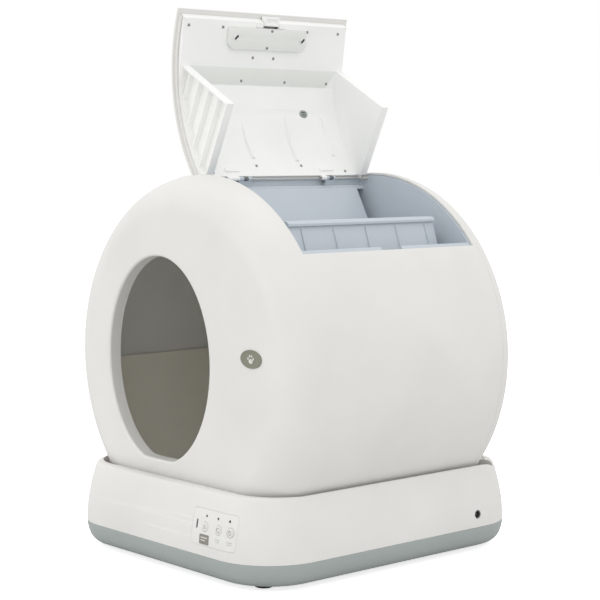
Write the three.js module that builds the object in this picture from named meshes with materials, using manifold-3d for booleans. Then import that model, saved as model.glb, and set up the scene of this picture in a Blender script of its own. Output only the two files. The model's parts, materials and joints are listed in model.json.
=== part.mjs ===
// Self-cleaning litter tray: a drum that rolls about Y on four rollers in a base, driven by a
// gear disc on its back. A hinged lid on top covers a lift-out waste bin. Millimetres, +Z up,
// entrance facing -Y, origin on the floor under the middle of the base.
import * as THREE from 'three';
import { mergeVertices } from 'three/addons/utils/BufferGeometryUtils.js';
import Module from 'manifold-3d';

const wasm = await Module();
wasm.setup();

// ---- driving dimensions -------------------------------------------------------------------
const GAP = 0.3;                 // clearance between pieces that touch
const WALL = 3;                  // moulded wall of the big shells
const THIN = 2.5;                // moulded wall of the inner pieces

const DRUM_R = 265;
const DRUM_Z = 290;              // height of the drum's axis
const DRUM_FRONT = -223;
const DRUM_REAR = 190;
const FRONT_FILLET = 52;
const REAR_FILLET = 18;
const DRUM_SPLIT = 168;          // seam between the drum shell and its rear cover
const DRUM_SEGMENTS = 72;

const OPENING = { from: 37.5, to: 98.2, front: -168.3, rear: 161.3 };
const ENTRANCE = { x: -44, z: 292, halfWidth: 119, halfHeight: 147, floor: 147, lip: 20 };

const BASE_W = 468;
const BASE_D = 520;
const BASE_CORNER = 90;
const TRAY_BOTTOM = 6;
const SEAM_Z = 39;               // seam between the grey tray and the white shell
const RIM_Z = 127;
const RIM_SOLID_Z = 112;         // the rim is solid above this height
const DECK_Z = 115;              // sunk deck behind the drum
const CRADLE_R = 271;
const CRADLE_HALF_WIDTH = 217;
const CRADLE_CORNER = 70;        // the cradle's front corners follow the rim's
const CRADLE_FRONT = -232;
const CRADLE_REAR = 208;

const GEAR_MODULE = 5;
const GEAR_TEETH = 94;
const PINION_TEETH = 12;
const PINION_ANGLE = -60;        // where the pinion meets the gear disc, about the drum's axis
const GEAR_Y = [191, 203];
const GEAR_BACKLASH = 0.5;
const HUB_R = 60;                // the gear disc is dished between its hub and its toothed ring
const RING_R = 222;
const WEB = 5;

const ROLLER_R = 14;
const ROLLER_ANGLE = 32;         // each side of straight down
const ROLLER_Y = [-148, 142];    // front faces of the front and rear rollers
const ROLLER_WIDTH = 16;
const AXLE_R = 3;

const HINGE_R = 258.6;           // lid hinge line, as a radius and angle about the drum's axis
const HINGE_ANGLE = 94.6;
const LID_OPEN = 122.5;
const PIN_R = 1.5;
const KNUCKLE_R = 3.1;
const KNUCKLE_BORE = 1.85;
const LID_TAIL_SWING = 11.5;     // room round the hinge line for the lid's back edge
const HINGES = [
  { name: 'front', knuckle: [-112, -90.4], eye: [-90, -67] },
  { name: 'rear', knuckle: [71, 80.6], eye: [81, 98] },
];

const LID = { from: 37.8, to: 94.2, front: -167.5, rear: 160.5 };
const SKIRT = { from: 39.8, to: 93 };      // the lid shell's end skirts, as angles
const LINER_Y = [-161.5, 154.5];
const LINER_R = 257;             // inner face of the liner's curved panel
const CHORD = { from: [40.2, 253.6], to: [55.4, 251.9] };   // flat filter panel: angle, radius
const LEDGE_END = 61.6;
const LINER_END = 93.8;
const LINER_STEPS = 9;
const CHEEK = { a: [148, 501], b: [37.4, 441], c: [-23, 537] };
const CHEEKS = [{ inner: -146, outer: -159 }, { inner: 142, outer: 155 }];
const FINS = { count: 4, first: 23, pitch: 25, thickness: 2.2 };    // outside each cheek

const BIN_SLOPE_TOP = [-19, 536];          // a point on the bin's slanted left panel
const BIN_SLOPE = [25, -45];               // and the way it runs down
const BIN_Y = [-143.5, 140.5];
const BIN_FLOOR = 402;
const BIN_END_Z = 470;                     // top of the bin's end walls
const RAIL = [145, 492];                   // top of the ribbed divider
const DIVIDER_FOOT = [175, BIN_FLOOR];
const RIB_Y = [-118.5, -59, 2.4, 62, 121.4];

// ---- colours ------------------------------------------------------------------------------
const plastic = (color, roughness) => new THREE.MeshStandardMaterial({ color, roughness, metalness: 0 });
const metal = (color, roughness) => new THREE.MeshStandardMaterial({ color, roughness, metalness: 1 });
const white = plastic('#ecece8', 0.45);
const linerWhite = plastic('#f0f0ec', 0.5);
const baseGrey = plastic('#a3aba8', 0.5);
const binGrey = plastic('#b9c2ca', 0.5);
const innerGrey = plastic('#9fa4a6', 0.6);
const badgeGrey = plastic('#898978', 0.4);
const dark = plastic('#3a3b3a', 0.5);
const rubber = plastic('#2f3030', 0.9);
const nylon = plastic('#d8d5c8', 0.5);
const carbon = plastic('#26272a', 0.95);
const board = plastic('#2c5a3c', 0.5);
const steel = metal('#b8babd', 0.35);

// ---- shape helpers --------------------------------------------------------------------------
const radians = THREE.MathUtils.degToRad;

// A point in the XZ plane at an angle and radius about the drum's axis (0 = +X, 90 = up).
function polar(degrees, radius) {
  return [radius * Math.cos(radians(degrees)), DRUM_Z + radius * Math.sin(radians(degrees))];
}

const HINGE = polar(HINGE_ANGLE, HINGE_R);

function toShape(points) {
  return new THREE.Shape(points.map(([x, y]) => new THREE.Vector2(x, y)));
}

// A closed, merged geometry as a manifold solid, turned right side out where needed.
function solid(geometry) {
  const bare = geometry.clone();
  bare.deleteAttribute('normal');
  bare.deleteAttribute('uv');
  const merged = mergeVertices(bare, 1e-4);
  const position = merged.getAttribute('position');
  const triangles = [];
  let volume = 0;
  const corner = [new THREE.Vector3(), new THREE.Vector3(), new THREE.Vector3()];
  for (let i = 0; i < merged.index.count; i += 3) {
    const ids = [0, 1, 2].map((k) => merged.index.getX(i + k));
    if (ids[0] === ids[1] || ids[1] === ids[2] || ids[2] === ids[0]) continue;
    ids.forEach((id, k) => corner[k].fromBufferAttribute(position, id));
    volume += corner[0].dot(corner[1].clone().cross(corner[2]));
    triangles.push(...ids);
  }
  if (volume < 0) {
    triangles.reverse();
  }
  const vertProperties = new Float32Array(position.array);
  const triVerts = new Uint32Array(triangles);
  return new wasm.Manifold(new wasm.Mesh({ numProp: 3, vertProperties, triVerts }));
}

function toGeometry(manifold) {
  const mesh = manifold.getMesh();
  const geometry = new THREE.BufferGeometry();
  geometry.setAttribute('position', new THREE.BufferAttribute(mesh.vertProperties, 3));
  geometry.setIndex(new THREE.BufferAttribute(mesh.triVerts, 1));
  geometry.computeVertexNormals();
  return geometry;
}

const join = (first, ...others) => others.reduce((sum, other) => sum.add(other), first);
const cut = (first, ...others) => others.reduce((rest, other) => rest.subtract(other), first);

// An XZ outline pushed along Y.
function prismY(shape, y0, y1, curveSegments = 24) {
  const geometry = new THREE.ExtrudeGeometry(shape, { depth: y1 - y0, bevelEnabled: false, curveSegments });
  geometry.rotateX(Math.PI / 2);
  geometry.translate(0, y1, 0);
  return solid(geometry);
}

// An XY outline pushed along Z.
function prismZ(shape, z0, z1, curveSegments = 12) {
  const geometry = new THREE.ExtrudeGeometry(shape, { depth: z1 - z0, bevelEnabled: false, curveSegments });
  geometry.translate(0, 0, z0);
  return solid(geometry);
}

function box(x0, x1, y0, y1, z0, z1) {
  const geometry = new THREE.BoxGeometry(x1 - x0, y1 - y0, z1 - z0);
  geometry.translate((x0 + x1) / 2, (y0 + y1) / 2, (z0 + z1) / 2);
  return solid(geometry);
}

// A round bar along Y centred on an XZ point.
function barY([x, z], radius, y0, y1, segments = 24) {
  const geometry = new THREE.CylinderGeometry(radius, radius, y1 - y0, segments);
  geometry.translate(x, (y0 + y1) / 2, z);
  return solid(geometry);
}

// A round bar along X centred on a YZ point.
function barX([y, z], radius, x0, x1, segments = 24) {
  const geometry = new THREE.CylinderGeometry(radius, radius, x1 - x0, segments);
  geometry.rotateZ(-Math.PI / 2);
  geometry.translate((x0 + x1) / 2, y, z);
  return solid(geometry);
}

// A profile of [radius, y] points turned about the drum's axis.
function turned(profile, segments = DRUM_SEGMENTS) {
  const geometry = new THREE.LatheGeometry(profile.map(([r, y]) => new THREE.Vector2(r, y)), segments);
  geometry.translate(0, 0, DRUM_Z);
  return solid(geometry);
}

// Part of a ring about the drum's axis.
function sector(rInner, rOuter, from, to, y0, y1) {
  const steps = Math.max(2, Math.ceil((to - from) / 4.5));
  const angles = Array.from({ length: steps + 1 }, (_, i) => from + ((to - from) * i) / steps);
  const outer = angles.map((angle) => polar(angle, rOuter));
  const inner = rInner > 0 ? angles.map((angle) => polar(angle, rInner)).reverse() : [[0, DRUM_Z]];
  return prismY(toShape([...outer, ...inner]), y0, y1);
}

// Points along a quarter round, as [radius, y].
function quarter(centreR, centreY, radius, from, to, steps = 6) {
  return Array.from({ length: steps + 1 }, (_, i) => {
    const angle = radians(from + ((to - from) * i) / steps);
    return [centreR + radius * Math.cos(angle), centreY + radius * Math.sin(angle)];
  });
}

function roundedRectangle(cx, cy, width, height, radius, steps = 6) {
  const points = [];
  [[1, 1, 0], [-1, 1, 90], [-1, -1, 180], [1, -1, 270]].forEach(([sx, sy, start]) => {
    for (let i = 0; i <= steps; i += 1) {
      const angle = radians(start + (90 * i) / steps);
      points.push([
        cx + sx * (width / 2 - radius) + radius * Math.cos(angle),
        cy + sy * (height / 2 - radius) + radius * Math.sin(angle),
      ]);
    }
  });
  return points;
}

// An outline moved outwards (or inwards, when negative) by the same distance all round.
function offsetOutline(points, distance) {
  const turning = points.reduce((sum, [x, y], i) => {
    const [nx, ny] = points[(i + 1) % points.length];
    return sum + x * ny - nx * y;
  }, 0);
  const side = distance * Math.sign(turning);
  return points.map((point, i) => {
    const before = points[(i + points.length - 1) % points.length];
    const after = points[(i + 1) % points.length];
    const inward = new THREE.Vector2(point[0] - before[0], point[1] - before[1]).normalize();
    const onward = new THREE.Vector2(after[0] - point[0], after[1] - point[1]).normalize();
    const normal = new THREE.Vector2(inward.y + onward.y, -inward.x - onward.x);
    const scale = side / (1 + inward.dot(onward));
    return [point[0] + normal.x * scale, point[1] + normal.y * scale];
  });
}

// A stack of rounded rectangles, each [height, inset from the base's footprint], skinned as one solid.
function loft(sections, shrink = 0) {
  const rings = sections.map(([z, inset]) => {
    const less = inset + shrink;
    const ring = roundedRectangle(0, 0, BASE_W - 2 * less, BASE_D - 2 * less, BASE_CORNER - less, 8);
    return ring.map(([x, y]) => [x, y, z]);
  });
  const count = rings[0].length;
  const vertices = [...rings.flat(), [0, 0, sections[0][0]], [0, 0, sections.at(-1)[0]]];
  const triangles = [];
  for (let i = 0; i < count; i += 1) {
    const next = (i + 1) % count;
    for (let level = 0; level < rings.length - 1; level += 1) {
      const low = level * count;
      const high = low + count;
      triangles.push(low + i, low + next, high + next, low + i, high + next, high + i);
    }
    const top = (rings.length - 1) * count;
    triangles.push(rings.length * count, next, i);
    triangles.push(rings.length * count + 1, top + i, top + next);
  }
  const geometry = new THREE.BufferGeometry();
  geometry.setAttribute('position', new THREE.Float32BufferAttribute(vertices.flat(), 3));
  geometry.setIndex(triangles);
  return solid(geometry);
}

const group = new THREE.Group();

function add(parent, name, shape, material) {
  const mesh = new THREE.Mesh(toGeometry(shape), material);
  mesh.name = name;
  parent.add(mesh);
}

// ---- base -------------------------------------------------------------------------------------
const TRAY_SECTIONS = [[TRAY_BOTTOM, 21], [8, 15], [12, 9.5], [18, 5], [26, 2], [34, 0.4], [SEAM_Z, 0]];
const SHELL_SECTIONS = [
  [SEAM_Z + GAP, 0], [52, 0.4], [70, 2], [90, 5.5], [108, 10],
  [118, 13], [124, 15.5], [126.3, 18], [RIM_Z, 21],
];
const ROLLER_CENTRE_R = DRUM_R + GAP + ROLLER_R;
const ROLLER_SIDES = [
  { side: 'left', centre: polar(-90 - ROLLER_ANGLE, ROLLER_CENTRE_R) },
  { side: 'right', centre: polar(-90 + ROLLER_ANGLE, ROLLER_CENTRE_R) },
];
const PINION_CENTRE = polar(PINION_ANGLE, (GEAR_MODULE * (GEAR_TEETH + PINION_TEETH)) / 2);

const BUTTONS = [[108.8, -256.6], [137.8, -256.6], [161, -254.9]];    // x, and the fascia's y there
const BUTTON_Z = 79;
const BUTTON_R = 6.5;
const LEDS = [[109.5, -253.6], [134.5, -253.6], [158, -252.4]];
const LED_Z = 93.6;
const LED_R = 1.6;
const FASCIA = { x: 126.5, z: 78, width: 91, height: 49, radius: 6 };
const LABEL = { x: 109, z: 61.8, width: 20, height: 13, radius: 1 };
const SENSOR = { x: 91, z: 81, width: 2.6, height: 12, radius: 1 };
const SOCKET = { y: 152, z: 58, radius: 6, bore: 3.6, face: 232.3 };

// The base shell's outer form moved along Y: two of these leave a skin that follows the front.
function shellForm(shift = 0) {
  return loft(SHELL_SECTIONS).translate([0, shift, 0]);
}

function frontPatch(patch, grow, shift, depth) {
  const outline = roundedRectangle(
    patch.x, patch.z, patch.width + 2 * grow, patch.height + 2 * grow, patch.radius + grow, 4,
  );
  const front = prismY(toShape(outline), -BASE_D / 2 - 5, -BASE_D / 2 + 30);
  return front.intersect(shellForm(shift)).subtract(shellForm(shift + depth));
}

function baseTray() {
  const floor = TRAY_BOTTOM + WALL;
  const hollow = [[floor, 16], [12, 10], [18, 5.2], [26, 2.1], [34, 0.5], [SEAM_Z + 1, 0]];
  return cut(loft(TRAY_SECTIONS), loft(hollow, WALL));
}

function rollerSlot([x], y) {
  return box(x - 19, x + 19, y - 9, y + ROLLER_WIDTH + 9, 0, 75);
}

// Plan of the cradle: square at the back, and rounded at the front to follow the rim.
function cradlePlan(grow) {
  const middle = (CRADLE_FRONT + CRADLE_REAR) / 2;
  const width = 2 * (CRADLE_HALF_WIDTH + grow);
  const depth = CRADLE_REAR - CRADLE_FRONT + 2 * grow;
  const front = roundedRectangle(0, middle, width, depth, CRADLE_CORNER + grow).filter(([, y]) => y < 0);
  return toShape([...front, [width / 2, middle + depth / 2], [-width / 2, middle + depth / 2]]);
}

// The drum-shaped hollow of the cradle, or the block that its skin is cut from.
function cradleForm(grow) {
  return barY([0, DRUM_Z], CRADLE_R + grow, CRADLE_FRONT - grow, CRADLE_REAR + grow, DRUM_SEGMENTS)
    .intersect(prismZ(cradlePlan(grow), 0, BASE_D));
}

function baseShell() {
  const below = SHELL_SECTIONS.filter(([z]) => z < RIM_SOLID_Z);
  const hollow = loft([[SEAM_Z - 1, 0], ...below.slice(1), [RIM_SOLID_Z, 11.2]], WALL);
  const cradle = cradleForm(WALL).intersect(loft([[TRAY_BOTTOM + WALL + 1, 14], ...SHELL_SECTIONS]));
  const deckOutline = roundedRectangle(0, 0, BASE_W - 60, BASE_D - 52, 60);
  const deck = prismZ(toShape(deckOutline), DECK_Z, RIM_Z + 1)
    .intersect(box(-BASE_W, BASE_W, CRADLE_REAR + WALL + 1, BASE_D, 0, RIM_Z + 2));
  const slots = ROLLER_SIDES.flatMap(({ centre }) => ROLLER_Y.map((y) => rollerSlot(centre, y)));
  const pinionRoom = barY(PINION_CENTRE, 37, GEAR_Y[0] - 3, CRADLE_REAR);
  const shaftHole = barY(PINION_CENTRE, 7, CRADLE_REAR - 1, CRADLE_REAR + WALL + 1);
  const socketHole = barX([SOCKET.y, SOCKET.z], SOCKET.radius + GAP, BASE_W / 2 - 12, BASE_W / 2 + 2);
  const shell = join(cut(loft(SHELL_SECTIONS), hollow), cradle);
  const panelHole = frontPatch(FASCIA, GAP, -2, 12);
  return cut(shell, cradleForm(0), deck, ...slots, pinionRoom, shaftHole, socketHole, panelHole);
}

function controlPanel() {
  const holes = [
    ...BUTTONS.map(([x]) => barY([x, BUTTON_Z], BUTTON_R + 0.4, -BASE_D / 2 - 5, -BASE_D / 2 + 30)),
    ...LEDS.map(([x]) => barY([x, LED_Z], LED_R + GAP, -BASE_D / 2 - 5, -BASE_D / 2 + 30, 12)),
  ];
  const panel = frontPatch(FASCIA, 0, 0, WALL);
  return cut(panel, ...holes, frontPatch(LABEL, GAP, -1, 2), frontPatch(SENSOR, GAP, -1, 8));
}

function powerSocket() {
  const centre = [SOCKET.y, SOCKET.z];
  const bore = barX(centre, SOCKET.bore, SOCKET.face - 9, SOCKET.face + 1);
  return cut(barX(centre, SOCKET.radius, SOCKET.face - 14, SOCKET.face), bore);
}

function rollerBracket([x, z], y) {
  const foot = TRAY_BOTTOM + WALL + GAP;
  const cheek = toShape([[x - 14, foot], [x + 14, foot], [x + 8, z + 5], [x - 8, z + 5]]);
  const sides = [y - 6, y + ROLLER_WIDTH + 2].map((start) => prismY(cheek, start, start + 4));
  const plate = box(x - 14, x + 14, y - 6, y + ROLLER_WIDTH + 6, foot, foot + WALL);
  return cut(join(plate, ...sides), barY([x, z], AXLE_R + GAP, y - 10, y + ROLLER_WIDTH + 10, 16));
}

function roller(centre, y) {
  const bore = barY(centre, AXLE_R + 0.5, y - 1, y + ROLLER_WIDTH + 1, 16);
  return cut(barY(centre, ROLLER_R, y, y + ROLLER_WIDTH), bore);
}

// Involute gear outline about the origin. phase is the angle of a tooth's middle, in degrees.
function gearOutline(teeth, phase) {
  const pitchR = (GEAR_MODULE * teeth) / 2;
  const pressure = radians(20);
  const baseR = pitchR * Math.cos(pressure);
  const tipR = pitchR + 0.75 * GEAR_MODULE;
  const rootR = pitchR - GEAR_MODULE;
  const involute = (angle) => Math.tan(angle) - angle;
  const halfAngle = (r) => Math.PI / (2 * teeth) - GEAR_BACKLASH / (2 * pitchR) + involute(pressure)
    - involute(Math.acos(Math.min(1, baseR / r)));
  const flank = baseR > rootR ? [rootR, baseR, pitchR, tipR] : [rootR, tipR];
  const points = [];
  for (let tooth = 0; tooth < teeth; tooth += 1) {
    const middle = radians(phase) + (2 * Math.PI * tooth) / teeth;
    const rise = flank.map((r) => [r, middle - halfAngle(r)]);
    const fall = [...flank].reverse().map((r) => [r, middle + halfAngle(r)]);
    [...rise, ...fall].forEach(([r, angle]) => points.push([r * Math.cos(angle), r * Math.sin(angle)]));
  }
  return points;
}

const moved = (points, [x, z]) => points.map(([px, pz]) => [px + x, pz + z]);

function gearDisc() {
  const teeth = moved(gearOutline(GEAR_TEETH, PINION_ANGLE), [0, DRUM_Z]);
  const [floor, top] = [GEAR_Y[0] + WEB, GEAR_Y[1] + 1];
  const dish = turned([[HUB_R, floor], [RING_R, floor], [RING_R, top], [HUB_R, top], [HUB_R, floor]], 36);
  return prismY(toShape(teeth), ...GEAR_Y).subtract(dish);
}

function drivePinion() {
  const gap = PINION_ANGLE + 180 + 180 / PINION_TEETH;
  const teeth = moved(gearOutline(PINION_TEETH, gap), PINION_CENTRE);
  const gear = prismY(toShape(teeth), GEAR_Y[0] + 0.5, GEAR_Y[1] - 0.5);
  return gear.add(barY(PINION_CENTRE, 4, GEAR_Y[0] + 1, CRADLE_REAR + 12));
}

function gearMotor() {
  const [x, z] = PINION_CENTRE;
  const start = CRADLE_REAR + WALL + 1;
  const gearbox = prismY(toShape(roundedRectangle(x, z, 64, 44, 8)), start, start + 20);
  const can = barY([x + 12, z], 17, start + 19, start + 37);
  return cut(join(gearbox, can), barY(PINION_CENTRE, 4.6, start - 1, start + 10));
}

function motorBracket() {
  const [x, z] = PINION_CENTRE;
  const foot = TRAY_BOTTOM + WALL + GAP;
  const under = z - 22 - GAP;
  const start = CRADLE_REAR + WALL + 2;
  const floor = box(x - 34, x + 34, start, start + 18, foot, foot + WALL);
  const shelf = box(x - 30, x + 30, start, start + 18, under - WALL, under);
  const legs = [x - 26, x, x + 26].map((cx) => box(cx - 2, cx + 2, start, start + 18, foot, under));
  return join(floor, shelf, ...legs);
}

const FEET = [
  ['front_left', -172, -205], ['front_right', 172, -205], ['rear_left', -172, 205], ['rear_right', 172, 205],
];

function foot(x, y) {
  const height = TRAY_BOTTOM - GAP;
  const geometry = new THREE.CylinderGeometry(14, 12.5, height, 28);
  geometry.rotateX(Math.PI / 2);
  geometry.translate(x, y, height / 2);
  return solid(geometry);
}

function addBase() {
  add(group, 'base_tray', baseTray(), baseGrey);
  add(group, 'base_shell', baseShell(), white);
  add(group, 'control_panel', controlPanel(), linerWhite);
  add(group, 'panel_label', frontPatch(LABEL, 0, -0.3, 1), dark);
  add(group, 'panel_sensor', frontPatch(SENSOR, 0, 0.2, 5), dark);
  LEDS.forEach(([x, y], i) => add(group, `led_${i + 1}`, barY([x, LED_Z], LED_R, y - 0.4, y + 6, 12), dark));
  add(group, 'control_board', box(94, 168, -243.5, -241.9, 56, 97), board);
  add(group, 'power_socket', powerSocket(), dark);
  add(group, 'gear_motor', gearMotor(), steel);
  add(group, 'motor_bracket', motorBracket(), steel);
  FEET.forEach(([name, x, y]) => add(group, `foot_${name}`, foot(x, y), rubber));
  ROLLER_SIDES.forEach(({ side, centre }) => {
    add(group, `roller_axle_${side}`, barY(centre, AXLE_R, -158, 168, 16), steel);
    ROLLER_Y.forEach((y, i) => {
      const end = ['front', 'rear'][i];
      add(group, `roller_bracket_${end}_${side}`, rollerBracket(centre, y), nylon);
      add(group, `roller_${end}_${side}`, roller(centre, y), rubber);
    });
  });
  add(group, 'drive_pinion', drivePinion(), nylon);
  BUTTONS.forEach(([x, y], i) => {
    add(group, `button_${i + 1}`, barY([x, BUTTON_Z], BUTTON_R, y - 1.2, -246, 28), linerWhite);
  });
}

// ---- drum ---------------------------------------------------------------------------------------
function entranceOutline(grow) {
  const steps = 56;
  const points = [];
  for (let i = 0; i < steps; i += 1) {
    const angle = (2 * Math.PI * i) / steps;
    const x = ENTRANCE.x + (ENTRANCE.halfWidth + grow) * Math.cos(angle);
    const z = ENTRANCE.z + (ENTRANCE.halfHeight + grow) * Math.sin(angle);
    points.push([x, Math.max(z, ENTRANCE.floor - grow)]);
  }
  return toShape(points);
}

function drumShell() {
  const centreR = DRUM_R - FRONT_FILLET;
  const centreY = DRUM_FRONT + FRONT_FILLET;
  const shell = turned([
    [0, DRUM_FRONT],
    ...quarter(centreR, centreY, FRONT_FILLET, -90, 0, 6),
    [DRUM_R, DRUM_SPLIT],
    [DRUM_R - WALL, DRUM_SPLIT],
    ...quarter(centreR, centreY, FRONT_FILLET - WALL, 0, -90, 4),
    [0, DRUM_FRONT + WALL],
  ]);
  const lip = prismY(entranceOutline(WALL), DRUM_FRONT + 1, DRUM_FRONT + ENTRANCE.lip);
  const hole = prismY(entranceOutline(0), DRUM_FRONT - 5, DRUM_FRONT + ENTRANCE.lip + 5);
  const opening = sector(DRUM_R - 20, DRUM_R + 20, OPENING.from, OPENING.to, OPENING.front, OPENING.rear);
  return cut(shell.add(lip), hole, opening);
}

function rearCover() {
  const centreR = DRUM_R - REAR_FILLET;
  const centreY = DRUM_REAR - REAR_FILLET;
  return turned([
    [0, DRUM_REAR - WALL],
    ...quarter(centreR, centreY, REAR_FILLET - WALL, 90, 0, 3),
    [DRUM_R - WALL, DRUM_SPLIT + GAP],
    [DRUM_R, DRUM_SPLIT + GAP],
    ...quarter(centreR, centreY, REAR_FILLET, 0, 90, 4),
    [0, DRUM_REAR],
  ]);
}

const BED_R = 256;               // inner face of the liners inside the drum
const BED_Y = [-184, 178];
const BED_SEAM = 270;            // height where the lower and upper liners meet

// Angle above the drum's axis at which a ring of the bed's radius reaches a height.
const bedAngle = (z) => (Math.asin((z - DRUM_Z) / BED_R) * 180) / Math.PI;

function litterBed() {
  const seam = bedAngle(BED_SEAM);
  const [from, to] = [-180 - seam, seam];
  const bowl = sector(BED_R, BED_R + WALL, from, to, ...BED_Y);
  const front = sector(175, BED_R + 1, from, to, BED_Y[0], BED_Y[0] + WALL);
  const rear = prismY(toShape(bedDisc(from, to)), BED_Y[1] - WALL, BED_Y[1]);
  return join(bowl, front, rear);
}

// The part of the round end wall between two angles, closed by its chord.
function bedDisc(from, to) {
  const steps = 32;
  return Array.from({ length: steps + 1 }, (_, i) => polar(from + ((to - from) * i) / steps, BED_R + 1));
}

function upperLiner() {
  const seam = bedAngle(BED_SEAM + 2);
  const side = sector(BED_R, BED_R + WALL, 104, 180 - seam, ...BED_Y);
  const rear = prismY(toShape(bedDisc(seam, 180 - seam)), BED_Y[1] - WALL, BED_Y[1]);
  return side.add(rear);
}

function sieveGrille() {
  const seam = bedAngle(BED_SEAM + 2);
  const plate = sector(BED_R, BED_R + WALL, seam, 30, BED_Y[0], BED_Y[1] - WALL - GAP);
  const pitch = 30;
  const slots = Array.from({ length: 11 }, (_, i) => {
    const y = BED_Y[0] + 18 + pitch * i;
    return sector(BED_R - 5, BED_R + 10, 2, 25, y, y + 14);
  });
  return cut(plate, ...slots);
}

// Unit vector down the bin's slanted panel, and the outward normal to its left.
const slope = new THREE.Vector2(...BIN_SLOPE).normalize();
const besideSlope = new THREE.Vector2(slope.y, -slope.x);

// A point on the slanted panel's plane at a height, pushed outwards by a distance.
function slopePoint(z, distance) {
  const x0 = BIN_SLOPE_TOP[0] + besideSlope.x * distance;
  const z0 = BIN_SLOPE_TOP[1] + besideSlope.y * distance;
  return [x0 + ((z0 - z) * slope.x) / -slope.y, z];
}

const TUB_FLOOR = BIN_FLOOR - 1.5;
const TUB_LEDGE_Z = 536;         // ledge that carries the hinge brackets
const TUB_LEFT_X = -31;
const TUB_Y = [-165.2, 158.2];
const LIP_ANGLE = 39.2;          // inner edge of the tub's front lip
const FLANGE = { inner: 258, outer: 261.4, from: 34, to: 101, front: -170.5, rear: 166 };

function binTub() {
  const inside = [
    [TUB_LEFT_X, TUB_LEDGE_Z + 60],
    [TUB_LEFT_X, TUB_LEDGE_Z],
    slopePoint(TUB_LEDGE_Z, 3.5),
    slopePoint(TUB_FLOOR, 3.5),
    [183, TUB_FLOOR],
    polar(LIP_ANGLE, FLANGE.inner),
    polar(LIP_ANGLE, FLANGE.inner + 60),
  ];
  const cavity = prismY(toShape(inside), ...TUB_Y);
  const block = prismY(toShape(offsetOutline(inside, THIN)), TUB_Y[0] - THIN, TUB_Y[1] + THIN)
    .intersect(barY([0, DRUM_Z], FLANGE.inner + 0.1, TUB_Y[0] - 5, TUB_Y[1] + 5, 120));
  const flange = sector(FLANGE.inner, FLANGE.outer, FLANGE.from, FLANGE.to, FLANGE.front, FLANGE.rear);
  const inlet = box(170, 215, -120, 110, 408, 432);
  const latchNotch = sector(FLANGE.inner - 8, FLANGE.outer + 2, 36.4, 40, -18, 21);
  const pockets = [[FLANGE.front, TUB_Y[0]], [TUB_Y[1], FLANGE.rear - THIN]].map(
    ([y0, y1]) => barY(HINGE, LID_TAIL_SWING + THIN, y0, y1)
      .intersect(barY([0, DRUM_Z], FLANGE.inner + 0.1, y0, y1, 120)),
  );
  const lidSwing = [[OPENING.front, TUB_Y[0] + 1], [TUB_Y[1] - 1, OPENING.rear]].map(
    ([y0, y1]) => barY(HINGE, LID_TAIL_SWING, y0, y1),
  );
  return cut(join(flange, block, ...pockets), cavity, inlet, latchNotch, ...lidSwing);
}

function wasteBin() {
  const [railX, railZ] = RAIL;
  const outline = [slopePoint(533, THIN), slopePoint(BIN_FLOOR, THIN), DIVIDER_FOOT, RAIL];
  const [footX, footZ] = DIVIDER_FOOT;
  const inside = [
    slopePoint(540, 0),
    slopePoint(BIN_FLOOR + THIN, 0),
    [footX - THIN - 1, BIN_FLOOR + THIN],
    [railX - THIN, railZ],
    [railX - THIN, railZ + 60],
  ];
  const body = prismY(toShape(outline), ...BIN_Y);
  const bead = [
    [railX - THIN, railZ - 9], [railX + 6.5, railZ - 9], [railX + 6.5, railZ - 3.5],
    [railX + 2.6, railZ], [railX - THIN, railZ],
  ];
  const rail = prismY(toShape(bead), ...BIN_Y);
  const rib = [
    [railX + 1, railZ - 8], [railX + 6, railZ - 12], [footX + 1, footZ + 8], [footX - 2, footZ + 2],
  ];
  const ribs = RIB_Y.map((y) => prismY(toShape(rib), y - 0.9, y + 0.9));
  const hollow = prismY(toShape(inside), BIN_Y[0] + THIN, BIN_Y[1] - THIN);
  const dividerSlope = (footX - railX - 1) / (railZ - BIN_FLOOR - THIN);
  const aboveEnds = [
    slopePoint(540, 0),
    slopePoint(BIN_END_Z, 0),
    [railX - THIN + (railZ - BIN_END_Z) * dividerSlope, BIN_END_Z],
    [railX - THIN, railZ],
    [railX - THIN, railZ + 60],
  ];
  const lowered = prismY(toShape(aboveEnds), BIN_Y[0] - 1, BIN_Y[1] + 1);
  return cut(join(body, rail, ...ribs), hollow, lowered);
}

function hingeBracket(y0, y1) {
  const [x, z] = HINGE;
  const foot = TUB_LEDGE_Z + GAP;
  const arm = toShape([[TUB_LEFT_X + 0.5, foot], [-23.3, foot], [x + 0.6, z - 2], [x - 2.8, z - 2],
    [-26.5, foot + 3], [TUB_LEFT_X + 0.5, foot + 3]]);
  const eye = barY(HINGE, KNUCKLE_R, y0, y1, 16);
  return cut(prismY(arm, y0, y1).add(eye), barY(HINGE, KNUCKLE_BORE, y0 - 1, y1 + 1, 16));
}

function drumBadge() {
  const outline = new THREE.Shape().absellipse(168, 311, 22, 12.5, 0, 2 * Math.PI);
  return prismY(outline, DRUM_FRONT - 1.6, DRUM_FRONT - GAP, 18);
}

function addDrum() {
  add(group, 'drum_shell', drumShell(), white);
  add(group, 'drum_rear_cover', rearCover(), white);
  add(group, 'gear_disc', gearDisc(), nylon);
  add(group, 'litter_bed', litterBed(), innerGrey);
  add(group, 'upper_liner', upperLiner(), white);
  add(group, 'sieve_grille', sieveGrille(), innerGrey);
  add(group, 'bin_tub', binTub(), binGrey);
  add(group, 'waste_bin', wasteBin(), binGrey);
  add(group, 'drum_badge', drumBadge(), badgeGrey);
  HINGES.forEach(({ name, knuckle, eye }) => {
    const ends = [Math.min(knuckle[0], eye[0]), Math.max(knuckle[1], eye[1])];
    add(group, `hinge_bracket_${name}`, hingeBracket(...eye), binGrey);
    add(group, `hinge_pin_${name}`, barY(HINGE, PIN_R, ends[0] - 1, ends[1] + 1, 16), steel);
  });
}

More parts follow.
